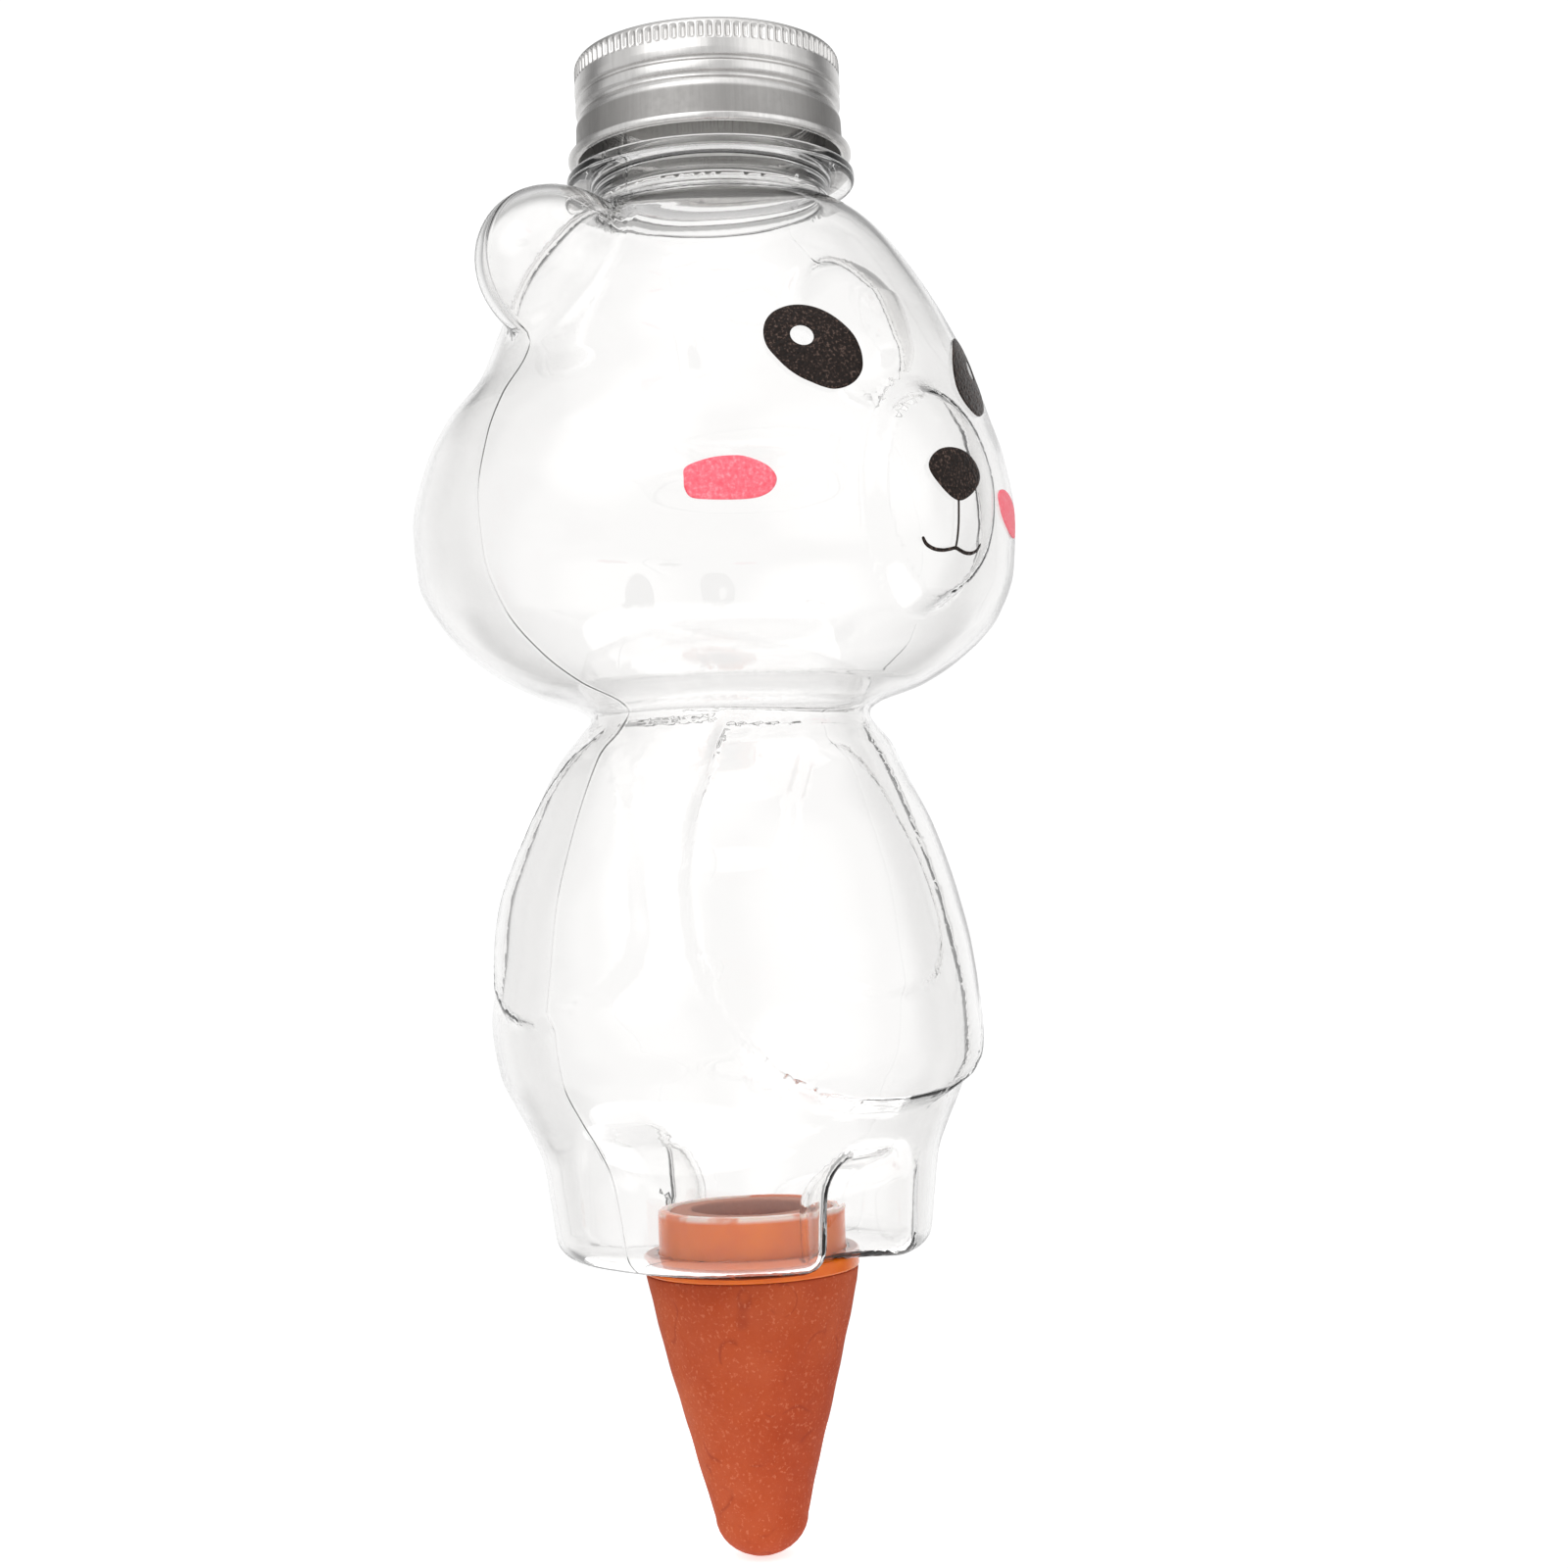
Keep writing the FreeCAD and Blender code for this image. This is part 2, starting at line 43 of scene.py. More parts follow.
# ---------------------------------------------------------------- sizes shared with the CAD model
WALL = 0.9
SOLE_R = 3.2
SOLE_Z = 1.9
SECTIONS = [
    (0.0, 23.60, 23.50, 26.50, 2.60),
    (2.2, 24.10, 23.80, 27.25, 2.60),
    (5.6, 24.70, 24.30, 27.90, 2.60),
    (10.7, 25.55, 24.65, 28.20, 2.60),
    (15.8, 26.76, 25.36, 28.73, 2.50), (20.9, 29.65, 27.17, 30.25, 2.35),
    (23.8, 31.78, 28.48, 31.41, 2.25), (29.7, 35.15, 30.52, 34.58, 2.10), (37.0, 36.26, 30.70, 36.65, 2.00),
    (45.7, 35.04, 30.00, 34.52, 2.00), (53.0, 33.83, 28.11, 34.05, 2.00), (63.2, 30.35, 25.14, 30.62, 2.00),
    (73.4, 25.46, 20.68, 26.87, 2.00), (78.5, 21.88, 19.87, 22.51, 2.00), (80.6, 20.55, 20.45, 20.65, 2.00),
    (81.8, 21.90, 21.90, 21.90, 2.00), (84.3, 29.09, 28.19, 27.70, 2.00), (88.0, 35.99, 33.02, 34.07, 2.00),
    (93.8, 42.46, 37.99, 39.59, 2.00), (101.0, 45.79, 40.17, 43.44, 2.00), (108.4, 46.40, 40.55, 43.83, 2.00),
    (117.0, 44.54, 39.80, 41.57, 2.00), (123.0, 41.67, 38.53, 38.39, 2.00), (128.8, 37.32, 37.79, 32.40, 2.00),
    (136.8, 33.82, 34.25, 28.56, 2.00), (144.8, 29.18, 29.48, 25.92, 2.00), (150.0, 24.93, 25.67, 22.62, 2.00),
    (153.0, 22.01, 22.39, 21.18, 2.00), (154.6, 19.50, 19.70, 19.30, 2.00), (155.5, 17.90, 17.90, 17.90, 2.00),
    (156.0, 17.35, 17.35, 17.35, 2.00)]
SHOULDER_Z = 156.0
BELLY_H = 1.7
BELLY = [(80, 49), (74, 53), (68, 57), (61, 59), (55, 59), (47, 57), (38, 51), (33, 45), (29, 38), (26, 29),
         (24.2, 18), (23.5, 0)]
ARM_H = 1.5
ARM_AT = 96.0
ARM = [(79, 5), (76, 12), (70, 20), (60, 26.5), (50, 29.5), (45, 27.5), (41, 21.5), (38.3, 13.5), (37, 6), (36.6, 0)]
MAP_R = 33.0
SNOUT_H, SNOUT_Z, SNOUT_HALF_W, SNOUT_HALF_H, SNOUT_MAP_R = 4.3, 107.5, 12.8, 16.2, 41.5
NOTCH_HALF_W, NOTCH_Y, NOTCH_TOP, NOTCH_SLOPE, NOTCH_CORNER_R = 8.0, 15.0, 14.2, 0.33, 4.5
EAR_C = (29.6, 0.0, 142.2)
EAR_R = (14.0, 9.2, 11.6)
NECK_R, BORE_R, NECK_TOP = 17.35, 15.9, 176.5
RING_R, RING_Z0, RING_Z1 = 21.35, 159.1, 161.0
LEAD = 3.175
THREAD_Z, THREAD_TURNS, THREAD_TIP_R = 168.6, 1.25, 18.45
CAP_TOP, CAP_R, CAP_BOTTOM, BEAD_R, CAP_WALL = 178.2, 19.7, 162.9, 21.0, 0.45
BASE_HOLE_R = 13.45
SHELL_NODES = ["bottle_neck", "bottle_head_front", "bottle_head_back", "bottle_body_front", "bottle_body_back",
               "bottle_leg_right_front", "bottle_leg_right_back", "bottle_leg_left_front", "bottle_leg_left_back"]

EYE = [(-14.9, 127.2), (-14.5, 125.7), (-14.9, 123.9), (-16.7, 122.3), (-19.3, 121.2), (-22.1, 120.7), (-24.5, 120.9),
       (-27.0, 121.5), (-29.3, 122.2), (-31.7, 123.4), (-33.9, 125.1), (-35.2, 126.5), (-35.6, 128.2), (-35.0, 129.9),
       (-33.3, 131.3), (-30.7, 132.2), (-28.1, 132.6), (-25.4, 132.6), (-22.7, 132.2), (-20.2, 131.4), (-17.9, 130.2),
       (-15.9, 128.7)]
CHEEK_LEFT = [(25.6, 109.23), (26.3, 107.91), (28.0, 106.60), (30.5, 105.62), (33.5, 104.96), (37.0, 104.63), (40.5,
              104.80), (42.0, 105.37), (42.3, 106.60), (42.2, 107.91), (41.2, 109.23), (38.5, 110.05), (35.0, 110.62),
              (31.5, 110.87), (28.2, 110.62), (26.3, 110.05)]
EYE_SHINE = (-27.6, 128.1, 2.5, 1.42)      # unprinted oval: degrees, height, half widths
CHEEK = [(-35.3, 108.1), (-36.1, 106.7), (-38.0, 105.8), (-40.5, 105.4), (-44.0, 105.3), (-48.0, 105.4), (-50.4, 105.7),
         (-51.4, 106.8), (-51.5, 108.2), (-51.3, 109.5), (-49.3, 110.3), (-46.3, 110.9), (-43.3, 111.1), (-41.0, 111.0),
         (-38.2, 110.3), (-36.3, 109.4)]
NOSE = [(0.0, 106.0), (-2.0, 106.4), (-4.3, 107.5), (-6.3, 109.0), (-6.9, 110.3), (-6.0, 111.6), (-4.2, 112.6),
        (-2.2, 113.1), (0.0, 113.25), (2.2, 113.1), (4.2, 112.6), (6.0, 111.6), (6.9, 110.3), (6.3, 109.0), (4.3, 107.5),
        (2.0, 106.4)]
MOUTH = [(-8.0, 100.8), (-7.0, 99.9), (-5.2, 99.35), (-3.2, 99.25), (-1.5, 99.45), (0.0, 99.7), (1.5, 99.45),
         (3.2, 99.25), (5.2, 99.35), (7.0, 99.9), (8.0, 100.8)]


# ---------------------------------------------------------------- the bottle's outer shape
def pchip(xs, ys):
    xs, ys = np.array(xs, float), np.array(ys, float)
    h = np.diff(xs)
    d = np.diff(ys) / h
    m = np.zeros(len(xs))
    for i in range(1, len(xs) - 1):
        if d[i - 1] * d[i] > 0:
            w1, w2 = 2 * h[i] + h[i - 1], h[i] + 2 * h[i - 1]
            m[i] = (w1 + w2) / (w1 / d[i - 1] + w2 / d[i])
    m[0], m[-1] = d[0], d[-1]

    def f(x):
        x = np.clip(x, xs[0], xs[-1])
        i = np.clip(np.searchsorted(xs, x, side="right") - 1, 0, len(xs) - 2)
        t = (x - xs[i]) / h[i]
        return (ys[i] * (1 + 2 * t) * (1 - t) ** 2 + h[i] * m[i] * t * (1 - t) ** 2
                + ys[i + 1] * t * t * (3 - 2 * t) + h[i] * m[i + 1] * t * t * (t - 1))
    return f


ZS = [s[0] for s in SECTIONS]
half_x = pchip(ZS, [s[1] for s in SECTIONS])
front_y = pchip(ZS, [s[2] for s in SECTIONS])
back_y = pchip(ZS, [s[3] for s in SECTIONS])
expo = pchip(ZS, [s[4] for s in SECTIONS])


def outline(rows):
    right = [(math.radians(w) * MAP_R, z) for z, w in rows]
    return right + [(-x, z) for x, z in reversed(right) if x > 0]


BELLY_POLY, ARM_POLY = outline(BELLY), outline(ARM)


def inside_depth(px, py, poly):
    best = np.full(px.shape, 1e9)
    inside = np.zeros(px.shape, bool)
    n = len(poly)
    for i in range(n):
        (ax, ay), (bx, by) = poly[i], poly[(i + 1) % n]
        ex, ey = bx - ax, by - ay
        wx, wy = px - ax, py - ay
        t = np.clip((wx * ex + wy * ey) / (ex * ex + ey * ey + 1e-12), 0, 1)
        best = np.minimum(best, (wx - ex * t) ** 2 + (wy - ey * t) ** 2)
        if by != ay:
            inside ^= ((ay > py) != (by > py)) & (px < (bx - ax) * (py - ay) / (by - ay) + ax)
    best = np.sqrt(best)
    return np.where(inside, best, -best)


def smooth(x):
    x = np.clip(x, 0, 1)
    return x * x * (3 - 2 * x)


def outer_r(phi, z):
    """Radius of the bottle's outer face; phi in radians from the front, towards +X."""
    phi, z = np.broadcast_arrays(np.asarray(phi, float), np.clip(z, SOLE_Z, SHOULDER_Z))
    s, c = np.abs(np.sin(phi)), np.cos(phi)
    b = np.where(c > 0, front_y(z), back_y(z))
    n = expo(z)
    r = ((s / half_x(z)) ** n + (np.abs(c) / b) ** n) ** (-1.0 / n)
    p = (phi + np.pi) % (2 * np.pi) - np.pi
    d = inside_depth(p * MAP_R, z, BELLY_POLY)
    low = smooth((40 - z) / 12)
    r = r + (BELLY_H + 0.1 + 0.9 * low) * smooth((d + 0.9) / (3.1 - 0.1 * low)) * smooth((81 - z) / 6)
    q = np.abs(p) - math.radians(ARM_AT)
    r = r + ARM_H * smooth((inside_depth(q * MAP_R, z, ARM_POLY) + 0.8) / 3.0) * smooth((80 - z) / 6)
    e = np.hypot(p * SNOUT_MAP_R / SNOUT_HALF_W, (z - SNOUT_Z) / SNOUT_HALF_H)
    r = r + SNOUT_H * (0.62 * smooth((1.03 - e) / 0.20) + 0.38 * smooth((1.0 - e) / 0.75))
    low = np.clip(z - SOLE_Z, 0, SOLE_R)
    return r - (SOLE_R - np.sqrt(np.maximum(SOLE_R ** 2 - (SOLE_R - low) ** 2, 0)))


# the same radius on a fine table, with its slopes, for the many lookups of the mesher
TZ = np.arange(0, SHOULDER_Z + 1e-6, 0.2)
TP = np.radians(np.arange(0, 360, 0.5))
TABLE_R = outer_r(TP[:, None], TZ[None, :])
TABLE_DZ = np.gradient(TABLE_R, 0.2, axis=1)
TABLE_DP = (np.roll(TABLE_R, -1, 0) - np.roll(TABLE_R, 1, 0)) / (2 * math.radians(0.5))


def lookup(table, phi, z):
    u = (phi % (2 * np.pi)) / math.radians(0.5)
    v = np.clip(z, 0, SHOULDER_Z) / 0.2
    i = np.floor(u).astype(int)
    j = np.clip(np.floor(v).astype(int), 0, len(TZ) - 2)
    fu, fv = u - i, np.clip(v - j, 0, 1)
    i0, i1 = i % len(TP), (i + 1) % len(TP)
    return ((table[i0, j] * (1 - fu) + table[i1, j] * fu) * (1 - fv)
            + (table[i0, j + 1] * (1 - fu) + table[i1, j + 1] * fu) * fv)


def smin(a, b, k):
    h = np.maximum(k - np.abs(a - b), 0) / k
    return np.minimum(a, b) - h * h * k / 4


def smax(a, b, k):
    return -smin(-a, -b, k)


def field(x, y, z):
    """Close to the signed distance from the bottle's outer face, negative inside."""
    rho = np.hypot(x, y)
    phi = np.arctan2(x, -y)
    r = lookup(TABLE_R, phi, z)
    rz = np.clip(lookup(TABLE_DZ, phi, z), -6, 6)
    rp = lookup(TABLE_DP, phi, z) / np.maximum(rho, 5.0)
    f = (rho - r) / np.sqrt(1 + rz * rz + rp * rp)
    for side in (-1, 1):
        px, py, pz = x - side * EAR_C[0], y - EAR_C[1], z - EAR_C[2]
        k0 = np.sqrt((px / EAR_R[0]) ** 2 + (py / EAR_R[1]) ** 2 + (pz / EAR_R[2]) ** 2)
        k1 = np.sqrt((px / EAR_R[0] ** 2) ** 2 + (py / EAR_R[1] ** 2) ** 2 + (pz / EAR_R[2] ** 2) ** 2)
        f = smin(f, k0 * (k0 - 1) / np.maximum(k1, 1e-6), 1.8)
    c = NOTCH_CORNER_R
    qx = np.abs(x) - NOTCH_HALF_W + c
    qz = (z - NOTCH_TOP - NOTCH_SLOPE * (np.abs(y) - NOTCH_Y)) * 0.95 + c
    d2 = np.hypot(np.maximum(qx, 0), np.maximum(qz, 0)) + np.minimum(np.maximum(qx, qz), 0) - c
    notch = smax(d2, NOTCH_Y - np.abs(y), 8.0)
    f = smax(f, -notch, 2.4)
    return np.maximum(f, SOLE_Z - z)


def gradient(p, h=0.05):
    g = np.empty_like(p)
    for a in range(3):
        d = np.zeros(3)
        d[a] = h
        hi, lo = p + d, p - d
        g[:, a] = (field(hi[:, 0], hi[:, 1], hi[:, 2]) - field(lo[:, 0], lo[:, 1], lo[:, 2])) / (2 * h)
    return g


def surface_net(step):
    xs = np.arange(-47.6, 47.6 + step, step)
    ys = np.arange(-46.7, 45.9 + step, step)
    zs = [SOLE_Z - 1.37]
    while zs[-1] < 158.5:
        z = zs[-1]
        fine = max(math.exp(-((z - 81.5) / 5.0) ** 2), math.exp(-((z - 154.0) / 4.0) ** 2), math.exp(-((z - SOLE_Z - 1.0) / 3.0) ** 2))
        zs.append(z + step * (1.0 - 0.5 * fine))
    zs = np.array(zs)
    X, Y, Z = np.meshgrid(xs, ys, zs, indexing="ij")
    F = field(X, Y, Z)
    inside = F < 0
    shape = tuple(n - 1 for n in F.shape)
    total = np.zeros(shape + (3,))
    count = np.zeros(shape)
    quads = []
    crossings = []
    for a in range(3):
        lo = [slice(None)] * 3
        hi = [slice(None)] * 3
        lo[a], hi[a] = slice(0, -1), slice(1, None)
        lo, hi = tuple(lo), tuple(hi)
        cross = inside[lo] != inside[hi]
        i, j, k = np.nonzero(cross)
        f0, f1 = F[lo][i, j, k], F[hi][i, j, k]
        t = f0 / (f0 - f1)
        pos = np.stack([xs[i], ys[j], zs[k]], -1).astype(float)
        pos[:, a] += t * np.diff((xs, ys, zs)[a])[(i, j, k)[a]]
        o = [b for b in range(3) if b != a]
        idx = np.stack([i, j, k], -1)
        for d0 in (-1, 0):
            for d1 in (-1, 0):
                c = idx.copy()
                c[:, o[0]] += d0
                c[:, o[1]] += d1
                ok = ((c >= 0) & (c < np.array(shape))).all(1)
                np.add.at(total, tuple(c[ok].T), pos[ok])
                np.add.at(count, tuple(c[ok].T), 1)
        crossings.append((a, o, idx, f0 < 0))
    has = count > 0
    number = np.full(shape, -1)
    number[has] = np.arange(has.sum())
    verts = total[has] / count[has][:, None]
    for a, o, idx, out in crossings:
        ok = np.ones(len(idx), bool)
        for b in o:
            ok &= (idx[:, b] >= 1) & (idx[:, b] <= shape[b] - 1)
        idx, out = idx[ok], out[ok]
        ring = []
        for d0, d1 in ((-1, -1), (0, -1), (0, 0), (-1, 0)):
            c = idx.copy()
            c[:, o[0]] += d0
            c[:, o[1]] += d1
            ring.append(number[tuple(c.T)])
        q = np.stack(ring, -1)
        flip = ~out if a != 1 else out
        q[flip] = q[flip][:, ::-1]
        quads.append(q)
    return verts, np.concatenate(quads)


def project(p, rounds=3):
    for _ in range(rounds):
        f = field(p[:, 0], p[:, 1], p[:, 2])
        g = gradient(p)
        p = p - (f / np.maximum((g * g).sum(1), 0.2))[:, None] * g
    return p


def relax(p, quads, rounds=2):
    e = np.concatenate([quads[:, [0, 1]], quads[:, [1, 2]], quads[:, [2, 3]], quads[:, [3, 0]]])
    e = np.unique(np.sort(e, 1), axis=0)
    for _ in range(rounds):
        s = np.zeros_like(p)
        n = np.zeros(len(p))
        for a, b in ((0, 1), (1, 0)):
            np.add.at(s, e[:, a], p[e[:, b]])
            np.add.at(n, e[:, a], 1)
        p = 0.5 * p + 0.5 * s / np.maximum(n, 1)[:, None]
        p = project(p, 1)
    return p


def ripple(p, scale, seed):
    """Smooth pseudo-random field of unit size, for the uneven wall."""
    rng = np.random.RandomState(seed)
    v = np.zeros(len(p))
    for _ in range(14):
        k = rng.normal(size=3)
        k *= (0.5 + rng.rand()) / scale / np.linalg.norm(k)
        v += np.sin(p @ k * 2 * np.pi + rng.rand() * 6.283)
    return v / math.sqrt(7.0)


# ---------------------------------------------------------------- mesh helpers
def new_object(name, verts, faces, smooth_shade=True):
    me = bpy.data.meshes.new(name)
    me.from_pydata([tuple(v) for v in (np.asarray(verts) * MM)], [], [tuple(int(i) for i in f) for f in faces])
    me.validate()
    me.update()
    ob = bpy.data.objects.new(name, me)
    bpy.context.collection.objects.link(ob)
    if smooth_shade:
        me.polygons.foreach_set("use_smooth", [True] * len(me.polygons))
    return ob


def grid_faces(rows, cols, closed_cols=True, offset=0):
    f = []
    for j in range(rows - 1):
        for i in range(cols if closed_cols else cols - 1):
            i2 = (i + 1) % cols
            f.append((offset + j * cols + i, offset + j * cols + i2, offset + (j + 1) * cols + i2, offset + (j + 1) * cols + i))
    return f


def dense(points, step, sharp=()):
    """Resample a profile so that no stretch is longer than step; the given points, corners too, are kept as they are.
    The sharp argument is not used.
    """
    out = [points[0]]
    for (r0, z0), (r1, z1) in zip(points[:-1], points[1:]):
        n = max(1, int(math.ceil(math.hypot(r1 - r0, z1 - z0) / step)))
        for k in range(1, n + 1):
            out.append((r0 + (r1 - r0) * k / n, z0 + (z1 - z0) * k / n))
    return out


def rounded(points, radii):
    """Round the corners of an open profile; radii gives one radius per inner point."""
    out = [points[0]]
    for i in range(1, len(points) - 1):
        p = np.array(points[i], float)
        a = np.array(points[i - 1], float) - p
        b = np.array(points[i + 1], float) - p
        la, lb = np.linalg.norm(a), np.linalg.norm(b)
        rad = radii[i - 1]
        a, b = a / la, b / lb
        cosang = float(np.clip(a @ b, -1, 1))
        half = math.acos(cosang) / 2
        if rad <= 0 or half > math.pi / 2 - 0.02:
            out.append(tuple(p))
            continue
        t = min(rad / math.tan(half), 0.48 * la, 0.48 * lb)
        rr = t * math.tan(half)
        mid = (a + b) / np.linalg.norm(a + b)
        c = p + mid * math.hypot(rr, t)
        p0, p1 = p + a * t, p + b * t
        a0 = math.atan2(p0[1] - c[1], p0[0] - c[0])
        a1 = math.atan2(p1[1] - c[1], p1[0] - c[0])
        da = (a1 - a0 + math.pi) % (2 * math.pi) - math.pi
        n = max(2, int(math.ceil(abs(da) / 0.35)))
        for k in range(n + 1):
            ang = a0 + da * k / n
            out.append((c[0] + rr * math.cos(ang), c[1] + rr * math.sin(ang)))
    out.append(points[-1])
    return out


def lathe(name, profile, cols, shift=None, closed=False):
    """Revolve (radius, z) points. A zero radius becomes one pole. shift(r, z, phi) may move the points."""
    prof = np.array(profile, float)
    ph = 2 * np.pi * np.arange(cols) / cols
    verts, faces, rings = [], [], []
    for r, z in prof:
        if r < 1e-6:
            rings.append([len(verts)])
            verts.append((0.0, 0.0, z))
        else:
            rr, zz = np.full(cols, r), np.full(cols, z)
            if shift is not None:
                rr, zz = shift(rr, zz, ph)
            rings.append(list(range(len(verts), len(verts) + cols)))
            verts.extend(zip(rr * np.sin(ph), -rr * np.cos(ph), zz))
    pairs = list(zip(rings[:-1], rings[1:]))
    if closed:
        pairs.append((rings[-1], rings[0]))
    for a, b in pairs:
        if len(a) == 1 and len(b) == 1:
            continue
        if len(a) == 1:
            faces += [(a[0], b[(i + 1) % cols], b[i]) for i in range(cols)]
        elif len(b) == 1:
            faces += [(a[i], a[(i + 1) % cols], b[0]) for i in range(cols)]
        else:
            faces += [(a[i], a[(i + 1) % cols], b[(i + 1) % cols], b[i]) for i in range(cols)]
    ob = new_object(name, verts, faces)
    fix_normals(ob)
    return ob


def fix_normals(ob):
    bm = bmesh.new()
    bm.from_mesh(ob.data)
    bmesh.ops.recalc_face_normals(bm, faces=bm.faces)
    if bm.calc_volume(signed=True) < 0:
        bmesh.ops.reverse_faces(bm, faces=bm.faces)
    bm.to_mesh(ob.data)
    bm.free()
    ob.data.update()


# ---------------------------------------------------------------- material helpers
def material(name):
    m = bpy.data.materials.new(name)
    m.use_nodes = True
    nt = m.node_tree
    return m, nt, nt.nodes["Principled BSDF"]


def node(nt, kind, **kw):
    n = nt.nodes.new(kind)
    for k, v in kw.items():
        setattr(n, k, v)
    return n


def noise(nt, coord, scale, detail=3.0, rough=0.5):
    n = node(nt, "ShaderNodeTexNoise")
    n.inputs["Scale"].default_value = scale
    n.inputs["Detail"].default_value = detail
    n.inputs["Roughness"].default_value = rough
    nt.links.new(coord, n.inputs["Vector"])
    return n


def ramp(nt, fac, stops):
    r = node(nt, "ShaderNodeValToRGB")
    while len(r.color_ramp.elements) < len(stops):
        r.color_ramp.elements.new(0.5)
    for e, (pos, col) in zip(r.color_ramp.elements, stops):
        e.position = pos
        e.color = col if len(col) == 4 else tuple(col) + (1.0,)
    nt.links.new(fac, r.inputs["Fac"])
    return r


def bump(nt, height, strength, distance, chain=None):
    b = node(nt, "ShaderNodeBump")
    b.inputs["Strength"].default_value = strength
    b.inputs["Distance"].default_value = distance
    nt.links.new(height, b.inputs["Height"])
    if chain is not None:
        nt.links.new(chain.outputs["Normal"], b.inputs["Normal"])
    return b


def maths(nt, op, a, b=None, clamp=False):
    m = node(nt, "ShaderNodeMath", operation=op, use_clamp=clamp)
    for i, v in enumerate((a, b)):
        if v is None:
            continue
        if isinstance(v, (int, float)):
            m.inputs[i].default_value = v
        else:
            nt.links.new(v, m.inputs[i])
    return m.outputs[0]


def map_range(nt, v, a, b, c, d, kind="SMOOTHSTEP"):
    m = node(nt, "ShaderNodeMapRange", interpolation_type=kind)
    nt.links.new(v, m.inputs["Value"])
    m.inputs["From Min"].default_value = a
    m.inputs["From Max"].default_value = b
    m.inputs["To Min"].default_value = c
    m.inputs["To Max"].default_value = d
    return m.outputs["Result"]


def srgb(r, g, b):
    def f(c):
        c /= 255.0
        return c / 12.92 if c <= 0.04045 else ((c + 0.055) / 1.055) ** 2.4
    return (f(r), f(g), f(b), 1.0)


def use(ob, mat):
    ob.data.materials.clear()
    ob.data.materials.append(mat)


# ---------------------------------------------------------------- materials
def mat_pet():
    m, nt, p = material("clear_pet")
    p.inputs["Base Color"].default_value = (0.994, 0.990, 0.985, 1)
    p.inputs["Transmission Weight"].default_value = 1.0
    p.inputs["Roughness"].default_value = 0.015
    p.inputs["IOR"].default_value = 1.54
    tc = node(nt, "ShaderNodeTexCoord")
    n1 = noise(nt, tc.outputs["Object"], 48.0, 1.0)
    b1 = bump(nt, n1.outputs["Fac"], 0.12, 0.0009)
    # the mould's parting line, a fine raised line in the plane Y = 0
    sep = node(nt, "ShaderNodeSeparateXYZ")
    nt.links.new(tc.outputs["Object"], sep.inputs[0])
    line = map_range(nt, maths(nt, "ABSOLUTE", sep.outputs["Y"]), 0.00005, 0.00045, 1.0, 0.0)
    b2 = bump(nt, line, 0.5, 0.00005, b1)
    nt.links.new(b2.outputs["Normal"], p.inputs["Normal"])
    out = nt.nodes["Material Output"]
    lp = node(nt, "ShaderNodeLightPath")
    tr = node(nt, "ShaderNodeBsdfTransparent")
    mix = node(nt, "ShaderNodeMixShader")
    nt.links.new(lp.outputs["Is Shadow Ray"], mix.inputs["Fac"])
    nt.links.new(p.outputs["BSDF"], mix.inputs[1])
    nt.links.new(tr.outputs["BSDF"], mix.inputs[2])
    nt.links.new(mix.outputs["Shader"], out.inputs["Surface"])
    return m


def mat_aluminium():
    m, nt, p = material("cap_aluminium")
    p.inputs["Metallic"].default_value = 1.0
    tc = node(nt, "ShaderNodeTexCoord")
    sep = node(nt, "ShaderNodeSeparateXYZ")
    nt.links.new(tc.outputs["Object"], sep.inputs[0])
    z = sep.outputs["Z"]
    # the plain band is matt, the rolled parts are brighter
    band = maths(nt, "MULTIPLY", map_range(nt, z, 0.1640, 0.1644, 0.0, 1.0), map_range(nt, z, 0.1680, 0.1686, 1.0, 0.0))
    grain = noise(nt, tc.outputs["Object"], 900.0, 4.0, 0.6)
    # streaks drawn down the skirt: noise that hardly changes with height
    mp = node(nt, "ShaderNodeMapping")
    mp.inputs["Scale"].default_value = (1.0, 1.0, 0.06)
    nt.links.new(tc.outputs["Object"], mp.inputs["Vector"])
    streak = noise(nt, mp.outputs["Vector"], 1500.0, 3.0, 0.6)
    cloud = noise(nt, tc.outputs["Object"], 90.0, 3.0, 0.55)
    col = ramp(nt, maths(nt, "ADD", maths(nt, "MULTIPLY", streak.outputs["Fac"], 0.5), maths(nt, "MULTIPLY", cloud.outputs["Fac"], 0.5)),
               [(0.30, (0.56, 0.55, 0.54)), (0.70, (0.70, 0.69, 0.68))])
    tone = node(nt, "ShaderNodeMix", data_type="RGBA", blend_type="MULTIPLY")
    nt.links.new(maths(nt, "MULTIPLY", band, 0.92), tone.inputs[0])
    nt.links.new(col.outputs["Color"], tone.inputs[6])
    tone.inputs[7].default_value = (0.46, 0.455, 0.45, 1)
    nt.links.new(tone.outputs[2], p.inputs["Base Color"])
    r0 = map_range(nt, cloud.outputs["Fac"], 0.3, 0.7, 0.18, 0.27)
    r1 = map_range(nt, grain.outputs["Fac"], 0.3, 0.7, 0.40, 0.50)
    mixr = node(nt, "ShaderNodeMix", data_type="FLOAT")
    nt.links.new(band, mixr.inputs[0])
    nt.links.new(r0, mixr.inputs[2])
    nt.links.new(r1, mixr.inputs[3])
    nt.links.new(mixr.outputs[0], p.inputs["Roughness"])
    b1 = bump(nt, streak.outputs["Fac"], 0.18, 0.00005)
    b2 = bump(nt, grain.outputs["Fac"], 0.12, 0.00004, b1)
    nt.links.new(b2.outputs["Normal"], p.inputs["Normal"])
    return m


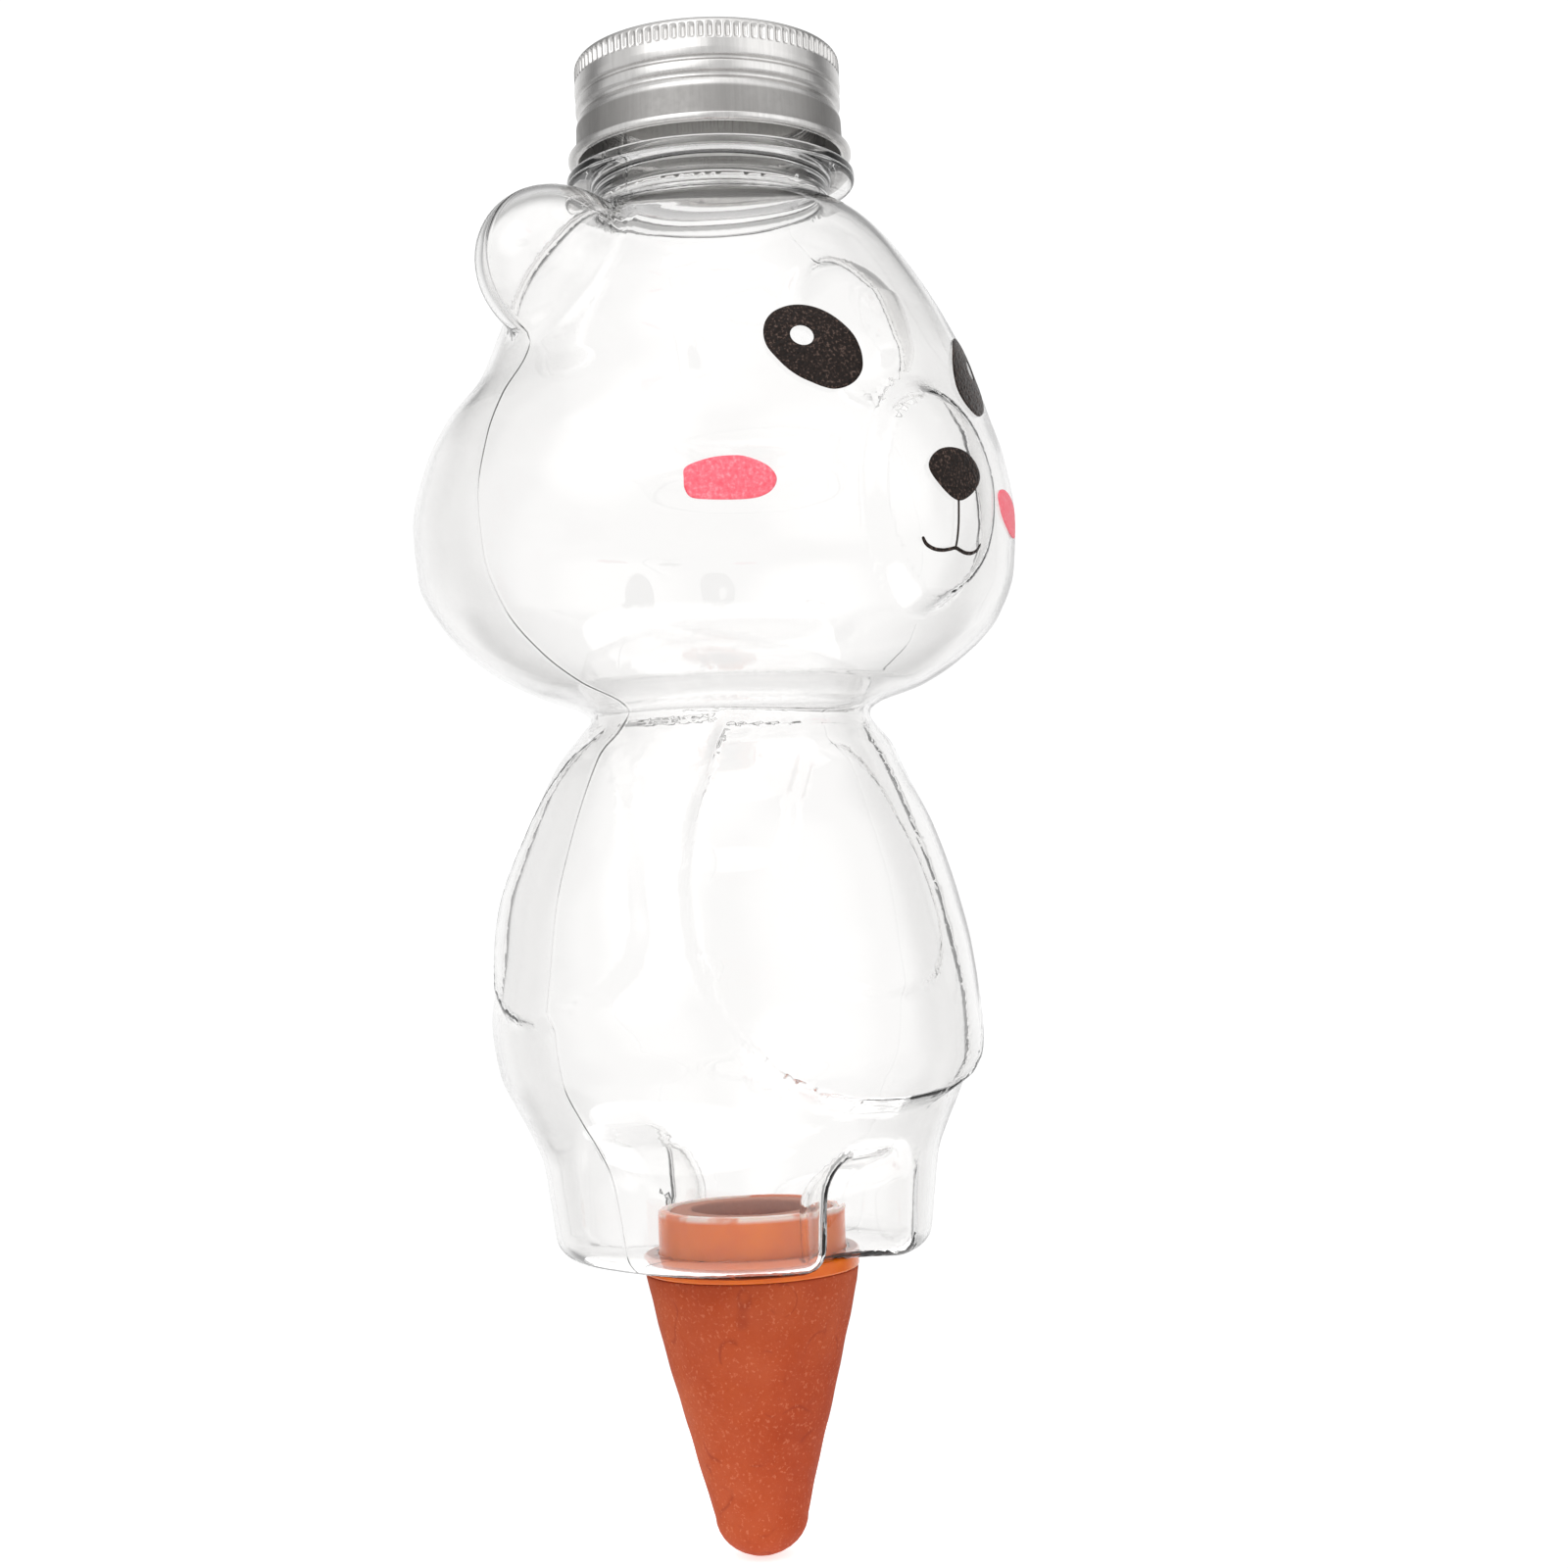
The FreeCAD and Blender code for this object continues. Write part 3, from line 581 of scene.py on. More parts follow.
def mat_terracotta():
    m, nt, p = material("terracotta")
    tc = node(nt, "ShaderNodeTexCoord")
    big = noise(nt, tc.outputs["Object"], 45.0, 4.0, 0.6)
    mid = noise(nt, tc.outputs["Object"], 320.0, 4.0, 0.65)
    speck = noise(nt, tc.outputs["Object"], 1900.0, 2.0, 0.6)
    col = ramp(nt, big.outputs["Fac"], [(0.25, srgb(146, 52, 24)), (0.50, srgb(162, 66, 33)), (0.78, srgb(178, 84, 48))])
    mp = node(nt, "ShaderNodeMapping")
    mp.inputs["Scale"].default_value = (1.0, 1.0, 0.35)
    mp.inputs["Rotation"].default_value = (0.5, 0.2, 0.0)
    nt.links.new(tc.outputs["Object"], mp.inputs["Vector"])
    smear = noise(nt, mp.outputs["Vector"], 150.0, 5.0, 0.7)
    dark = ramp(nt, smear.outputs["Fac"], [(0.60, (0, 0, 0)), (0.72, (1, 1, 1))])
    mix1 = node(nt, "ShaderNodeMix", data_type="RGBA", blend_type="MIX")
    nt.links.new(maths(nt, "MULTIPLY", dark.outputs["Color"], 0.55), mix1.inputs[0])
    nt.links.new(col.outputs["Color"], mix1.inputs[6])
    mix1.inputs[7].default_value = srgb(140, 50, 30)
    # scratches: thin broken lines where a slow noise crosses its middle
    line = noise(nt, tc.outputs["Object"], 95.0, 1.0, 0.4)
    gap = noise(nt, tc.outputs["Object"], 210.0, 2.0, 0.5)
    thin = ramp(nt, maths(nt, "ABSOLUTE", maths(nt, "SUBTRACT", line.outputs["Fac"], 0.52)), [(0.0, (1, 1, 1)), (0.012, (0, 0, 0))])
    broken = ramp(nt, gap.outputs["Fac"], [(0.50, (0, 0, 0)), (0.58, (1, 1, 1))])
    mixs = node(nt, "ShaderNodeMix", data_type="RGBA", blend_type="MIX")
    nt.links.new(maths(nt, "MULTIPLY", maths(nt, "MULTIPLY", thin.outputs["Color"], broken.outputs["Color"]), 0.5), mixs.inputs[0])
    nt.links.new(mix1.outputs[2], mixs.inputs[6])
    mixs.inputs[7].default_value = srgb(128, 44, 26)
    light = ramp(nt, speck.outputs["Fac"], [(0.58, (0, 0, 0)), (0.68, (1, 1, 1))])
    mix2 = node(nt, "ShaderNodeMix", data_type="RGBA", blend_type="MIX")
    nt.links.new(maths(nt, "MULTIPLY", light.outputs["Color"], 0.30), mix2.inputs[0])
    nt.links.new(mixs.outputs[2], mix2.inputs[6])
    mix2.inputs[7].default_value = srgb(214, 130, 98)
    # the spigot and rim are paler towards the top: painted light on the upward faces
    sep = node(nt, "ShaderNodeSeparateXYZ")
    nt.links.new(tc.outputs["Object"], sep.inputs[0])
    top = map_range(nt, sep.outputs["Z"], 0.0055, 0.0086, 0.0, 0.55)
    mix3 = node(nt, "ShaderNodeMix", data_type="RGBA", blend_type="MIX")
    nt.links.new(top, mix3.inputs[0])
    nt.links.new(mix2.outputs[2], mix3.inputs[6])
    mix3.inputs[7].default_value = srgb(196, 150, 130)
    nt.links.new(mix3.outputs[2], p.inputs["Base Color"])
    rough = map_range(nt, mid.outputs["Fac"], 0.3, 0.7, 0.78, 0.95)
    nt.links.new(rough, p.inputs["Roughness"])
    p.inputs["Specular IOR Level"].default_value = 0.25
    b1 = bump(nt, mid.outputs["Fac"], 0.5, 0.0004)
    b2 = bump(nt, speck.outputs["Fac"], 0.30, 0.00012, b1)
    b3 = bump(nt, smear.outputs["Fac"], 0.25, 0.0004, b2)
    nt.links.new(b3.outputs["Normal"], p.inputs["Normal"])
    return m


def mat_orange():
    m, nt, p = material("orange_plastic")
    tc = node(nt, "ShaderNodeTexCoord")
    n1 = noise(nt, tc.outputs["Object"], 180.0, 3.0)
    col = ramp(nt, n1.outputs["Fac"], [(0.3, srgb(200, 86, 0)), (0.7, srgb(214, 102, 0))])
    sep = node(nt, "ShaderNodeSeparateXYZ")
    nt.links.new(tc.outputs["Object"], sep.inputs[0])
    # painted reflection: the collar's top edge is mixed, in patches, towards a pale grey that stands in for the sheen
    # reflected there
    patch = noise(nt, tc.outputs["Object"], 110.0, 3.0, 0.6)
    rim = maths(nt, "MULTIPLY", map_range(nt, sep.outputs["Z"], 0.0080, 0.0088, 0.0, 1.0),
                map_range(nt, patch.outputs["Fac"], 0.40, 0.52, 0.15, 1.0))
    pale = node(nt, "ShaderNodeMix", data_type="RGBA", blend_type="MIX")
    nt.links.new(rim, pale.inputs[0])
    nt.links.new(col.outputs["Color"], pale.inputs[6])
    pale.inputs[7].default_value = srgb(222, 200, 192)
    nt.links.new(pale.outputs[2], p.inputs["Base Color"])
    p.inputs["Roughness"].default_value = 0.22
    p.inputs["Subsurface Weight"].default_value = 0.25
    p.inputs["Subsurface Radius"].default_value = (1.0, 0.35, 0.08)
    p.inputs["Subsurface Scale"].default_value = 0.003
    p.inputs["IOR"].default_value = 1.49
    b = bump(nt, n1.outputs["Fac"], 0.15, 0.0002)
    nt.links.new(b.outputs["Normal"], p.inputs["Normal"])
    return m


def mat_ink(name, dark, mid, light, grain_scale, grain_strength, rough):
    m, nt, p = material(name)
    tc = node(nt, "ShaderNodeTexCoord")
    vor = node(nt, "ShaderNodeTexVoronoi", feature="SMOOTH_F1")
    vor.inputs["Scale"].default_value = grain_scale
    nt.links.new(tc.outputs["Object"], vor.inputs["Vector"])
    n1 = noise(nt, tc.outputs["Object"], grain_scale * 1.3, 3.0, 0.6)
    # the lighter ramp stop is painted highlight: light specks standing in for glints on the ink's grain, over its real
    # random tone
    col = ramp(nt, n1.outputs["Fac"], [(0.30, dark), (0.54, mid), (0.68, light)])
    p.inputs["Specular IOR Level"].default_value = 0.18
    nt.links.new(col.outputs["Color"], p.inputs["Base Color"])
    r = map_range(nt, n1.outputs["Fac"], 0.3, 0.7, rough - 0.06, rough + 0.10)
    nt.links.new(r, p.inputs["Roughness"])
    b1 = bump(nt, vor.outputs["Distance"], grain_strength, 0.00026)
    b2 = bump(nt, n1.outputs["Fac"], grain_strength, 0.0001, b1)
    nt.links.new(b2.outputs["Normal"], p.inputs["Normal"])
    return m


def mat_liner():
    m, nt, p = material("liner_foam")
    tc = node(nt, "ShaderNodeTexCoord")
    n1 = noise(nt, tc.outputs["Object"], 1400.0, 3.0)
    col = ramp(nt, n1.outputs["Fac"], [(0.3, (0.72, 0.72, 0.70)), (0.7, (0.86, 0.86, 0.84))])
    nt.links.new(col.outputs["Color"], p.inputs["Base Color"])
    p.inputs["Roughness"].default_value = 0.7
    b = bump(nt, n1.outputs["Fac"], 0.4, 0.0001)
    nt.links.new(b.outputs["Normal"], p.inputs["Normal"])
    return m


PET = mat_pet()
ALU = mat_aluminium()
CLAY = mat_terracotta()
ORANGE = mat_orange()
# the third colour of each ink is a painted highlight on its grain
BLACK = mat_ink("black_ink", srgb(14, 7, 4), srgb(30, 18, 13), srgb(96, 78, 70), 1900.0, 1.0, 0.36)
PINK = mat_ink("pink_ink", srgb(248, 96, 112), srgb(255, 120, 134), srgb(255, 152, 162), 1500.0, 0.6, 0.45)
LINER = mat_liner()


# ---------------------------------------------------------------- bottle
def neck_shift(r, z, phi):
    """The bottle's thread, one right-hand ridge; only on the outside of the neck."""
    if abs(r[0] - NECK_R) > 0.01 or z[0] < 162:
        return r, z
    out = r.copy()
    for turn in (0, 1):
        ang = phi + turn * 2 * np.pi
        along = ang / (2 * np.pi)
        zc = THREAD_Z + LEAD * along
        shape = np.clip(1.3 - np.abs(z - zc) / 0.62, 0, 1)
        end = smooth(along / 0.05) * smooth((THREAD_TURNS - along) / 0.05)
        out = np.maximum(out, NECK_R + (THREAD_TIP_R - NECK_R) * smooth(shape) * end)
    return out, z


def boundary_loops(bm):
    """Lists of edges, one list per open loop."""
    left = {e for e in bm.edges if len(e.link_faces) == 1}
    loops = []
    while left:
        e = left.pop()
        loop, stack = [e], [e]
        while stack:
            q = stack.pop()
            for v in q.verts:
                for o in v.link_edges:
                    if o in left:
                        left.remove(o)
                        loop.append(o)
                        stack.append(o)
        loops.append(loop)
    return loops


def zip_loops(bm, edges_a, edges_b):
    """Join two loops that run once round the axis with a ring of triangles."""
    rows = []
    for edges in (edges_a, edges_b):
        verts = {v for e in edges for v in e.verts}
        rows.append(sorted(((math.atan2(v.co.x, -v.co.y), v.index, v) for v in verts), key=lambda t: t[:2]))
    ra, rb = rows
    i = j = 0
    while i < len(ra) or j < len(rb):
        next_a = ra[(i + 1) % len(ra)][0] + 2 * math.pi * ((i + 1) // len(ra))
        next_b = rb[(j + 1) % len(rb)][0] + 2 * math.pi * ((j + 1) // len(rb))
        va, vb = ra[i % len(ra)][2], rb[j % len(rb)][2]
        if j >= len(rb) or (i < len(ra) and next_a <= next_b):
            bm.faces.new((va, vb, ra[(i + 1) % len(ra)][2]))
            i += 1
        else:
            bm.faces.new((va, vb, rb[(j + 1) % len(rb)][2]))
            j += 1


def make_bottle():
    step = 1.12
    v, q = surface_net(step)
    v = project(v, 2)
    v = relax(v, q, 3)
    v = project(v, 2)
    v[:, 2] = np.where(v[:, 2] < SOLE_Z + 0.02, SOLE_Z, v[:, 2])
    cen = v[q].mean(1)
    rho = np.hypot(cen[:, 0], cen[:, 1])
    keep = ~((rho < 14.2) & (cen[:, 2] < SOLE_Z + 0.35))
    q = q[keep]
    g = gradient(v, 0.25)
    n = g / np.maximum(np.linalg.norm(g, axis=1), 1e-9)[:, None]
    wall = WALL * (1.0 + 0.07 * ripple(v, 34.0, 3) + 0.02 * ripple(v, 15.0, 8))
    near_end = np.maximum(smooth((v[:, 2] - 151) / 5), smooth((SOLE_Z + 5 - v[:, 2]) / 4))
    wall = np.clip(wall, 0.62, 1.25) * (1 - near_end) + WALL * near_end
    inner = v - n * wall[:, None]
    verts = np.concatenate([v, inner])
    faces = np.concatenate([q, q[:, ::-1] + len(v)])
    ob = new_object("bottle_body", verts, faces)
    bm = bmesh.new()
    bm.from_mesh(ob.data)
    # true normals ride on the vertices through the cuts below
    layer = bm.verts.layers.float_vector.new("true_n")
    both = np.concatenate([n, -n])
    bm.verts.ensure_lookup_table()
    for vert, vn in zip(bm.verts, both):
        vert[layer] = vn
    cut = 156.7 * MM
    bmesh.ops.bisect_plane(bm, geom=list(bm.verts) + list(bm.edges) + list(bm.faces), dist=1e-7,
                           plane_co=(0, 0, cut), plane_no=(0, 0, 1), clear_outer=True)
    bmesh.ops.delete(bm, geom=[x for x in bm.verts if not x.link_faces], context="VERTS")
    for vert in bm.verts:
        if abs(vert.co.z - cut) < 1e-6:
            rho_v = math.hypot(vert.co.x, vert.co.y)
            want = (NECK_R if rho_v > 16.9 * MM else NECK_R - WALL) * MM
            vert.co.x *= want / rho_v
            vert.co.y *= want / rho_v
    # the neck: up the outside, over the lip and down the bore
    cols = 180
    prof = [(NECK_R, 156.7), (NECK_R, RING_Z0), (RING_R, RING_Z0), (RING_R, RING_Z1 - 0.3), (NECK_R, RING_Z1 + 0.2)]
    prof = dense(rounded(prof, [0.45, 0.5, 0.55]), 0.7)
    up = [(NECK_R, z) for z in np.arange(RING_Z1 + 0.5, NECK_TOP - 0.5, 0.33)]
    lip = dense(rounded([(NECK_R, NECK_TOP - 0.5), (NECK_R, NECK_TOP), (BORE_R, NECK_TOP), (BORE_R, NECK_TOP - 1.0)], [0.4, 0.35]), 0.5)
    down = dense([(BORE_R, NECK_TOP - 1.4), (BORE_R, 160.0), (NECK_R - WALL, 156.7)], 1.6)
    prof = prof + up + lip + down
    ph = 2 * np.pi * np.arange(cols) / cols
    rings = []
    for r, z in prof:
        rr, zz = neck_shift(np.full(cols, r), np.full(cols, z), ph)
        rings.append([bm.verts.new((a * MM, b * MM, c * MM)) for a, b, c in zip(rr * np.sin(ph), -rr * np.cos(ph), zz)])
    for a, b in zip(rings[:-1], rings[1:]):
        for i in range(cols):
            j = (i + 1) % cols
            bm.faces.new((a[i], a[j], b[j], b[i]))
    # the lip of the base hole
    lipc = 128
    ph2 = 2 * np.pi * np.arange(lipc) / lipc
    hole = rounded([(13.95, SOLE_Z), (BASE_HOLE_R, SOLE_Z), (BASE_HOLE_R, SOLE_Z + WALL), (13.95, SOLE_Z + WALL)], [0.25, 0.25])
    hrings = []
    for r, z in hole:
        hrings.append([bm.verts.new((r * MM * math.sin(t), -r * MM * math.cos(t), z * MM)) for t in ph2])
    for a, b in zip(hrings[:-1], hrings[1:]):
        for i in range(lipc):
            j = (i + 1) % lipc
            bm.faces.new((a[i], a[j], b[j], b[i]))
    bm.edges.ensure_lookup_table()
    loops = boundary_loops(bm)
    info = []
    for lp in loops:
        co = np.array([(vv.co.x, vv.co.y, vv.co.z) for e in lp for vv in e.verts]) / MM
        info.append((lp, float(np.hypot(co[:, 0], co[:, 1]).mean()), float(co[:, 2].mean()), len(lp)))
    top = sorted([x for x in info if x[2] > 100], key=lambda x: x[1])
    low = sorted([x for x in info if x[2] <= 100], key=lambda x: (round(x[2] * 2), x[1]))
    print("loops top", [(round(a[1], 2), round(a[2], 2), a[3]) for a in top])
    print("loops low", [(round(a[1], 2), round(a[2], 2), a[3]) for a in low])
    if len(top) == 4:
        for a, b in ((top[0], top[1]), (top[2], top[3])):
            bmesh.ops.bridge_loops(bm, edges=a[0] + b[0])
    if len(low) == 4:
        for a, b in ((low[0], low[1]), (low[2], low[3])):
            zip_loops(bm, a[0], b[0])
    bmesh.ops.recalc_face_normals(bm, faces=bm.faces)
    if bm.calc_volume(signed=True) < 0:
        bmesh.ops.reverse_faces(bm, faces=bm.faces)
    open_edges = sum(1 for e in bm.edges if len(e.link_faces) != 2)
    print("bottle open edges", open_edges, "volume mm3", bm.calc_volume(signed=True) / MM ** 3, "faces", len(bm.faces))
    for f in bm.faces:
        f.smooth = True
    bm.to_mesh(ob.data)
    bm.free()
    me = ob.data
    me.update()
    count = len(me.vertices)
    auto = np.empty(count * 3)
    me.vertex_normals.foreach_get("vector", auto)
    auto = auto.reshape(-1, 3)
    true = np.empty(count * 3)
    me.attributes["true_n"].data.foreach_get("vector", true)
    true = true.reshape(-1, 3)
    size = np.linalg.norm(true, axis=1)
    good = (size > 0.5) & ((true * auto).sum(1) > 0.5 * size)
    true[good] /= size[good][:, None]
    mixed = np.where(good[:, None], true, auto)
    me.attributes.remove(me.attributes["true_n"])
    me.normals_split_custom_set_from_vertices([tuple(x) for x in mixed])
    print("true normals on", int(good.sum()), "of", count)
    use(ob, PET)
    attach(ob, "bottle")
    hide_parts(*SHELL_NODES)
    return ob


# ---------------------------------------------------------------- prints
def closed_curve(points, n):
    """Catmull-Rom through the points, resampled to n."""
    p = np.array(points, float)
    m = len(p)
    out = []
    for k in range(n):
        u = k * m / n
        i = int(u)
        t = u - i
        a, b, c, d = p[(i - 1) % m], p[i % m], p[(i + 1) % m], p[(i + 2) % m]
        out.append(0.5 * (2 * b + (c - a) * t + (2 * a - 5 * b + 4 * c - d) * t * t + (3 * b - a - 3 * c + d) * t ** 3))
    return np.array(out)


FILM_LOW, FILM_HIGH = 0.015, 0.075


def film_points(deg, z, off):
    """Points a given distance off the bottle's face."""
    p = np.radians(deg)
    r = outer_r(p, z)
    P = np.stack([r * np.sin(p), -r * np.cos(p), z], -1)
    g = gradient(P, 0.2)
    return P + g / np.linalg.norm(g, axis=1)[:, None] * (np.ones(len(P)) * off)[:, None]


def film(name, border, centre, hole=None, rings=12, node_name=None, mat=None):
    border = closed_curve(border, 120)
    if hole is None:
        inner = np.repeat(np.array([centre]), len(border), 0) + (border - np.array(centre)) * 0.02
    else:
        cx, cz, ha, hb = hole
        ang = np.arctan2((border[:, 1] - cz) / hb, (border[:, 0] - cx) / ha)
        inner = np.stack([cx + ha * np.cos(ang), cz + hb * np.sin(ang)], -1)
    cols = len(border)
    rows = []
    for k in range(rings + 1):
        t = k / rings
        rows.append(inner + (border - inner) * t)
    grid = np.concatenate(rows)
    edge = np.repeat(np.arange(rings + 1) / rings, cols)
    high = FILM_HIGH * (1 - 0.5 * smooth((edge - 0.97) / 0.03))
    topv = film_points(grid[:, 0], grid[:, 1], high)
    lowv = film_points(grid[:, 0], grid[:, 1], FILM_LOW)
    verts = np.concatenate([topv, lowv])
    n = len(topv)
    faces = grid_faces(rings + 1, cols)
    faces = faces + [tuple(n + i for i in reversed(f)) for f in faces]
    last = rings * cols
    for i in range(cols):
        j = (i + 1) % cols
        faces.append((last + i, last + j, n + last + j, n + last + i))
    if hole is None:
        faces.append(tuple(range(cols)))
        faces.append(tuple(n + i for i in reversed(range(cols))))
    else:
        for i in range(cols):
            j = (i + 1) % cols
            faces.append((j, i, n + i, n + j))
    ob = new_object(name, verts, faces)
    fix_normals(ob)
    use(ob, mat)
    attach(ob, "bottle")
    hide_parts(node_name)
    return ob


def ribbon(name, path, half, taper=True):
    """A printed line along (degrees, height) points, as a thin closed strip."""
    p = np.array(path, float)
    m = len(p)
    fine = []
    for k in range((m - 1) * 8 + 1):
        u = k / 8.0
        i = min(int(u), m - 2)
        t = u - i
        a, b, c, d = p[max(i - 1, 0)], p[i], p[i + 1], p[min(i + 2, m - 1)]
        fine.append(0.5 * (2 * b + (c - a) * t + (2 * a - 5 * b + 4 * c - d) * t * t + (3 * b - a - 3 * c + d) * t ** 3))
    fine = np.array(fine)
    R = 44.8
    xy = np.stack([np.radians(fine[:, 0]) * R, fine[:, 1]], -1)
    tan = np.gradient(xy, axis=0)
    tan /= np.linalg.norm(tan, axis=1)[:, None]
    nor = np.stack([-tan[:, 1], tan[:, 0]], -1)
    s = np.linspace(0, 1, len(xy))
    w = half * np.ones(len(xy))
    if taper:
        w = half * (0.45 + 0.55 * np.sqrt(np.clip(np.minimum(s, 1 - s) / 0.04, 0, 1)))
    verts, cols = [], []
    for layer, off in ((0, FILM_HIGH), (1, FILM_LOW)):
        for k in (-1.0, -0.5, 0.0, 0.5, 1.0):
            pts = xy + nor * (w * k)[:, None]
            o = off if layer else off * (1.0 - 0.4 * k * k)
            verts.append(film_points(np.degrees(pts[:, 0] / R), pts[:, 1], o))
    L = len(xy)
    V = np.concatenate(verts)
    faces = []
    for k in range(4):
        for i in range(L - 1):
            faces.append((k * L + i, k * L + i + 1, (k + 1) * L + i + 1, (k + 1) * L + i))
            b = 5 * L
            faces.append((b + k * L + i, b + (k + 1) * L + i, b + (k + 1) * L + i + 1, b + k * L + i + 1))
    for k in (0, 4):
        for i in range(L - 1):
            f = (k * L + i, 5 * L + k * L + i, 5 * L + k * L + i + 1, k * L + i + 1)
            faces.append(f if k == 0 else tuple(reversed(f)))
    for i in (0, L - 1):
        f = tuple([k * L + i for k in range(5)] + [5 * L + k * L + i for k in range(4, -1, -1)])
        faces.append(f if i == 0 else tuple(reversed(f)))
    return V, faces


def mirror(points):
    return [(-a, z) for a, z in reversed(points)]


def make_prints():
    cx, cz, ha, hb = EYE_SHINE
    film("eye_ink_right", EYE, None, hole=EYE_SHINE, node_name="eye_print_right", mat=BLACK)
    film("eye_ink_left", mirror(EYE), None, hole=(-cx, cz, ha, hb), node_name="eye_print_left", mat=BLACK)
    film("cheek_ink_right", CHEEK, (-43.5, 108.2), node_name="cheek_print_right", mat=PINK)
    film("cheek_ink_left", CHEEK_LEFT, (34.0, 107.5), node_name="cheek_print_left", mat=PINK)
    film("nose_ink", NOSE, (0.0, 109.9), node_name="nose_print", mat=BLACK)
    v1, f1 = ribbon("smile", MOUTH, 0.24)
    v2, f2 = ribbon("stem", [(0.0, 99.62), (0.0, 101.5), (0.0, 103.5), (0.0, 105.0), (0.0, 106.15)], 0.20, taper=False)
    f2 = [tuple(i + len(v1) for i in f) for f in f2]
    ob = new_object("mouth_ink", np.concatenate([v1, v2]), f1 + f2)
    fix_normals(ob)
    use(ob, BLACK)
    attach(ob, "bottle")
    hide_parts("mouth_print")


# ---------------------------------------------------------------- cap
def make_cap():
    slots = 96
    cols = slots * 8

    def shift(r, z, phi):
        r = r.copy()
        u = (phi * slots / (2 * np.pi)) % 1.0
        across = np.abs(u - 0.5) * 2
        across = smooth((0.66 - across) / 0.30)
        along = smooth((z - 174.95) / 0.45) * smooth((177.35 - z) / 0.5)
        on = (r > CAP_R - 1.6)
        r = r - np.where(on, 0.42 * across * along, 0)
        # the rolled thread's run-out makes the lower groove uneven round the cap
        low = np.exp(-((z - 169.95) / 0.45) ** 2)
        r = r - np.where(on, 0.12 * low * (1 + np.sin(phi + 0.6)), 0)
        return r, z

    outer = [(0.0, CAP_TOP), (17.2, CAP_TOP), (CAP_R, CAP_TOP), (CAP_R, 174.9), (CAP_R + 0.06, 173.6), (CAP_R - 0.02, 172.75),
             (CAP_R - 0.5, 172.45), (CAP_R - 0.5, 172.15), (CAP_R - 0.02, 171.75), (CAP_R - 0.02, 170.55),
             (CAP_R - 0.55, 170.15), (CAP_R - 0.55, 169.75), (CAP_R - 0.15, 168.9), (CAP_R - 0.02, 168.3),
             (CAP_R + 0.1, 164.25), (CAP_R + 0.35, 164.1), (BEAD_R - 0.45, 164.15), (BEAD_R, 163.95), (BEAD_R, 163.15),
             (BEAD_R - 0.35, CAP_BOTTOM), (CAP_R + 0.1, CAP_BOTTOM), (CAP_R - 0.35, 163.3)]
    radii = [0.5, 1.5, 0.5, 0.6, 0.25, 0.2, 0.2, 0.3, 0.3, 0.25, 0.25, 0.5, 0.4, 0.12, 0.12, 0.3, 0.4, 0.4, 0.4, 0.4]
    prof = rounded(outer, radii)
    fine = []
    for (r0, z0), (r1, z1) in zip(prof[:-1], prof[1:]):
        d = math.hypot(r1 - r0, z1 - z0)
        inside_rim = max(z0, z1) > 174.7 and min(r0, r1) > 17.0
        n = max(1, int(math.ceil(d / (0.22 if inside_rim else 0.75 if r0 > 17 else 3.0))))
        for k in range(n):
            fine.append((r0 + (r1 - r0) * k / n, z0 + (z1 - z0) * k / n))
    fine.append(prof[-1])
    inner = [(CAP_R - CAP_WALL, 164.6), (CAP_R - CAP_WALL, 168.6), (18.75, 169.7), (18.75, 172.5), (CAP_R - CAP_WALL - 0.1, 173.3),
             (CAP_R - CAP_WALL - 0.15, CAP_TOP - 1.3), (CAP_R - 1.2, CAP_TOP - CAP_WALL), (9.0, CAP_TOP - CAP_WALL), (0.0, CAP_TOP - CAP_WALL)]
    ob = lathe("cap", fine + inner, cols, shift)
    use(ob, ALU)
    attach(ob, "cap")
    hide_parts("cap_shell")
    liner = lathe("liner", rounded([(0.0, 176.5), (18.6, 176.5), (18.6, 177.7), (0.0, 177.7)], [0.25, 0.25]), 96)
    use(liner, LINER)
    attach(liner, "liner")
    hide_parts("cap_liner")


# ---------------------------------------------------------------- collar and cone
def make_collar():
    prof = rounded([(12.0, 0.0), (15.6, 0.0), (15.6, SOLE_Z), (13.4, SOLE_Z), (13.4, 9.0), (12.0, 9.0)], [0.35, 0.35, 0.15, 0.4])
    prof = dense(prof, 0.8)
    ob = lathe("collar", prof, 160, closed=True)
    use(ob, ORANGE)
    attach(ob, "collar")
    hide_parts("spike_collar")


CONE = [(15.5, 0.0), (15.2, -2.3), (14.05, -7.45), (12.46, -13.8), (10.85, -20.1), (9.17, -26.5), (7.5, -32.8), (6.8, -35.4)]


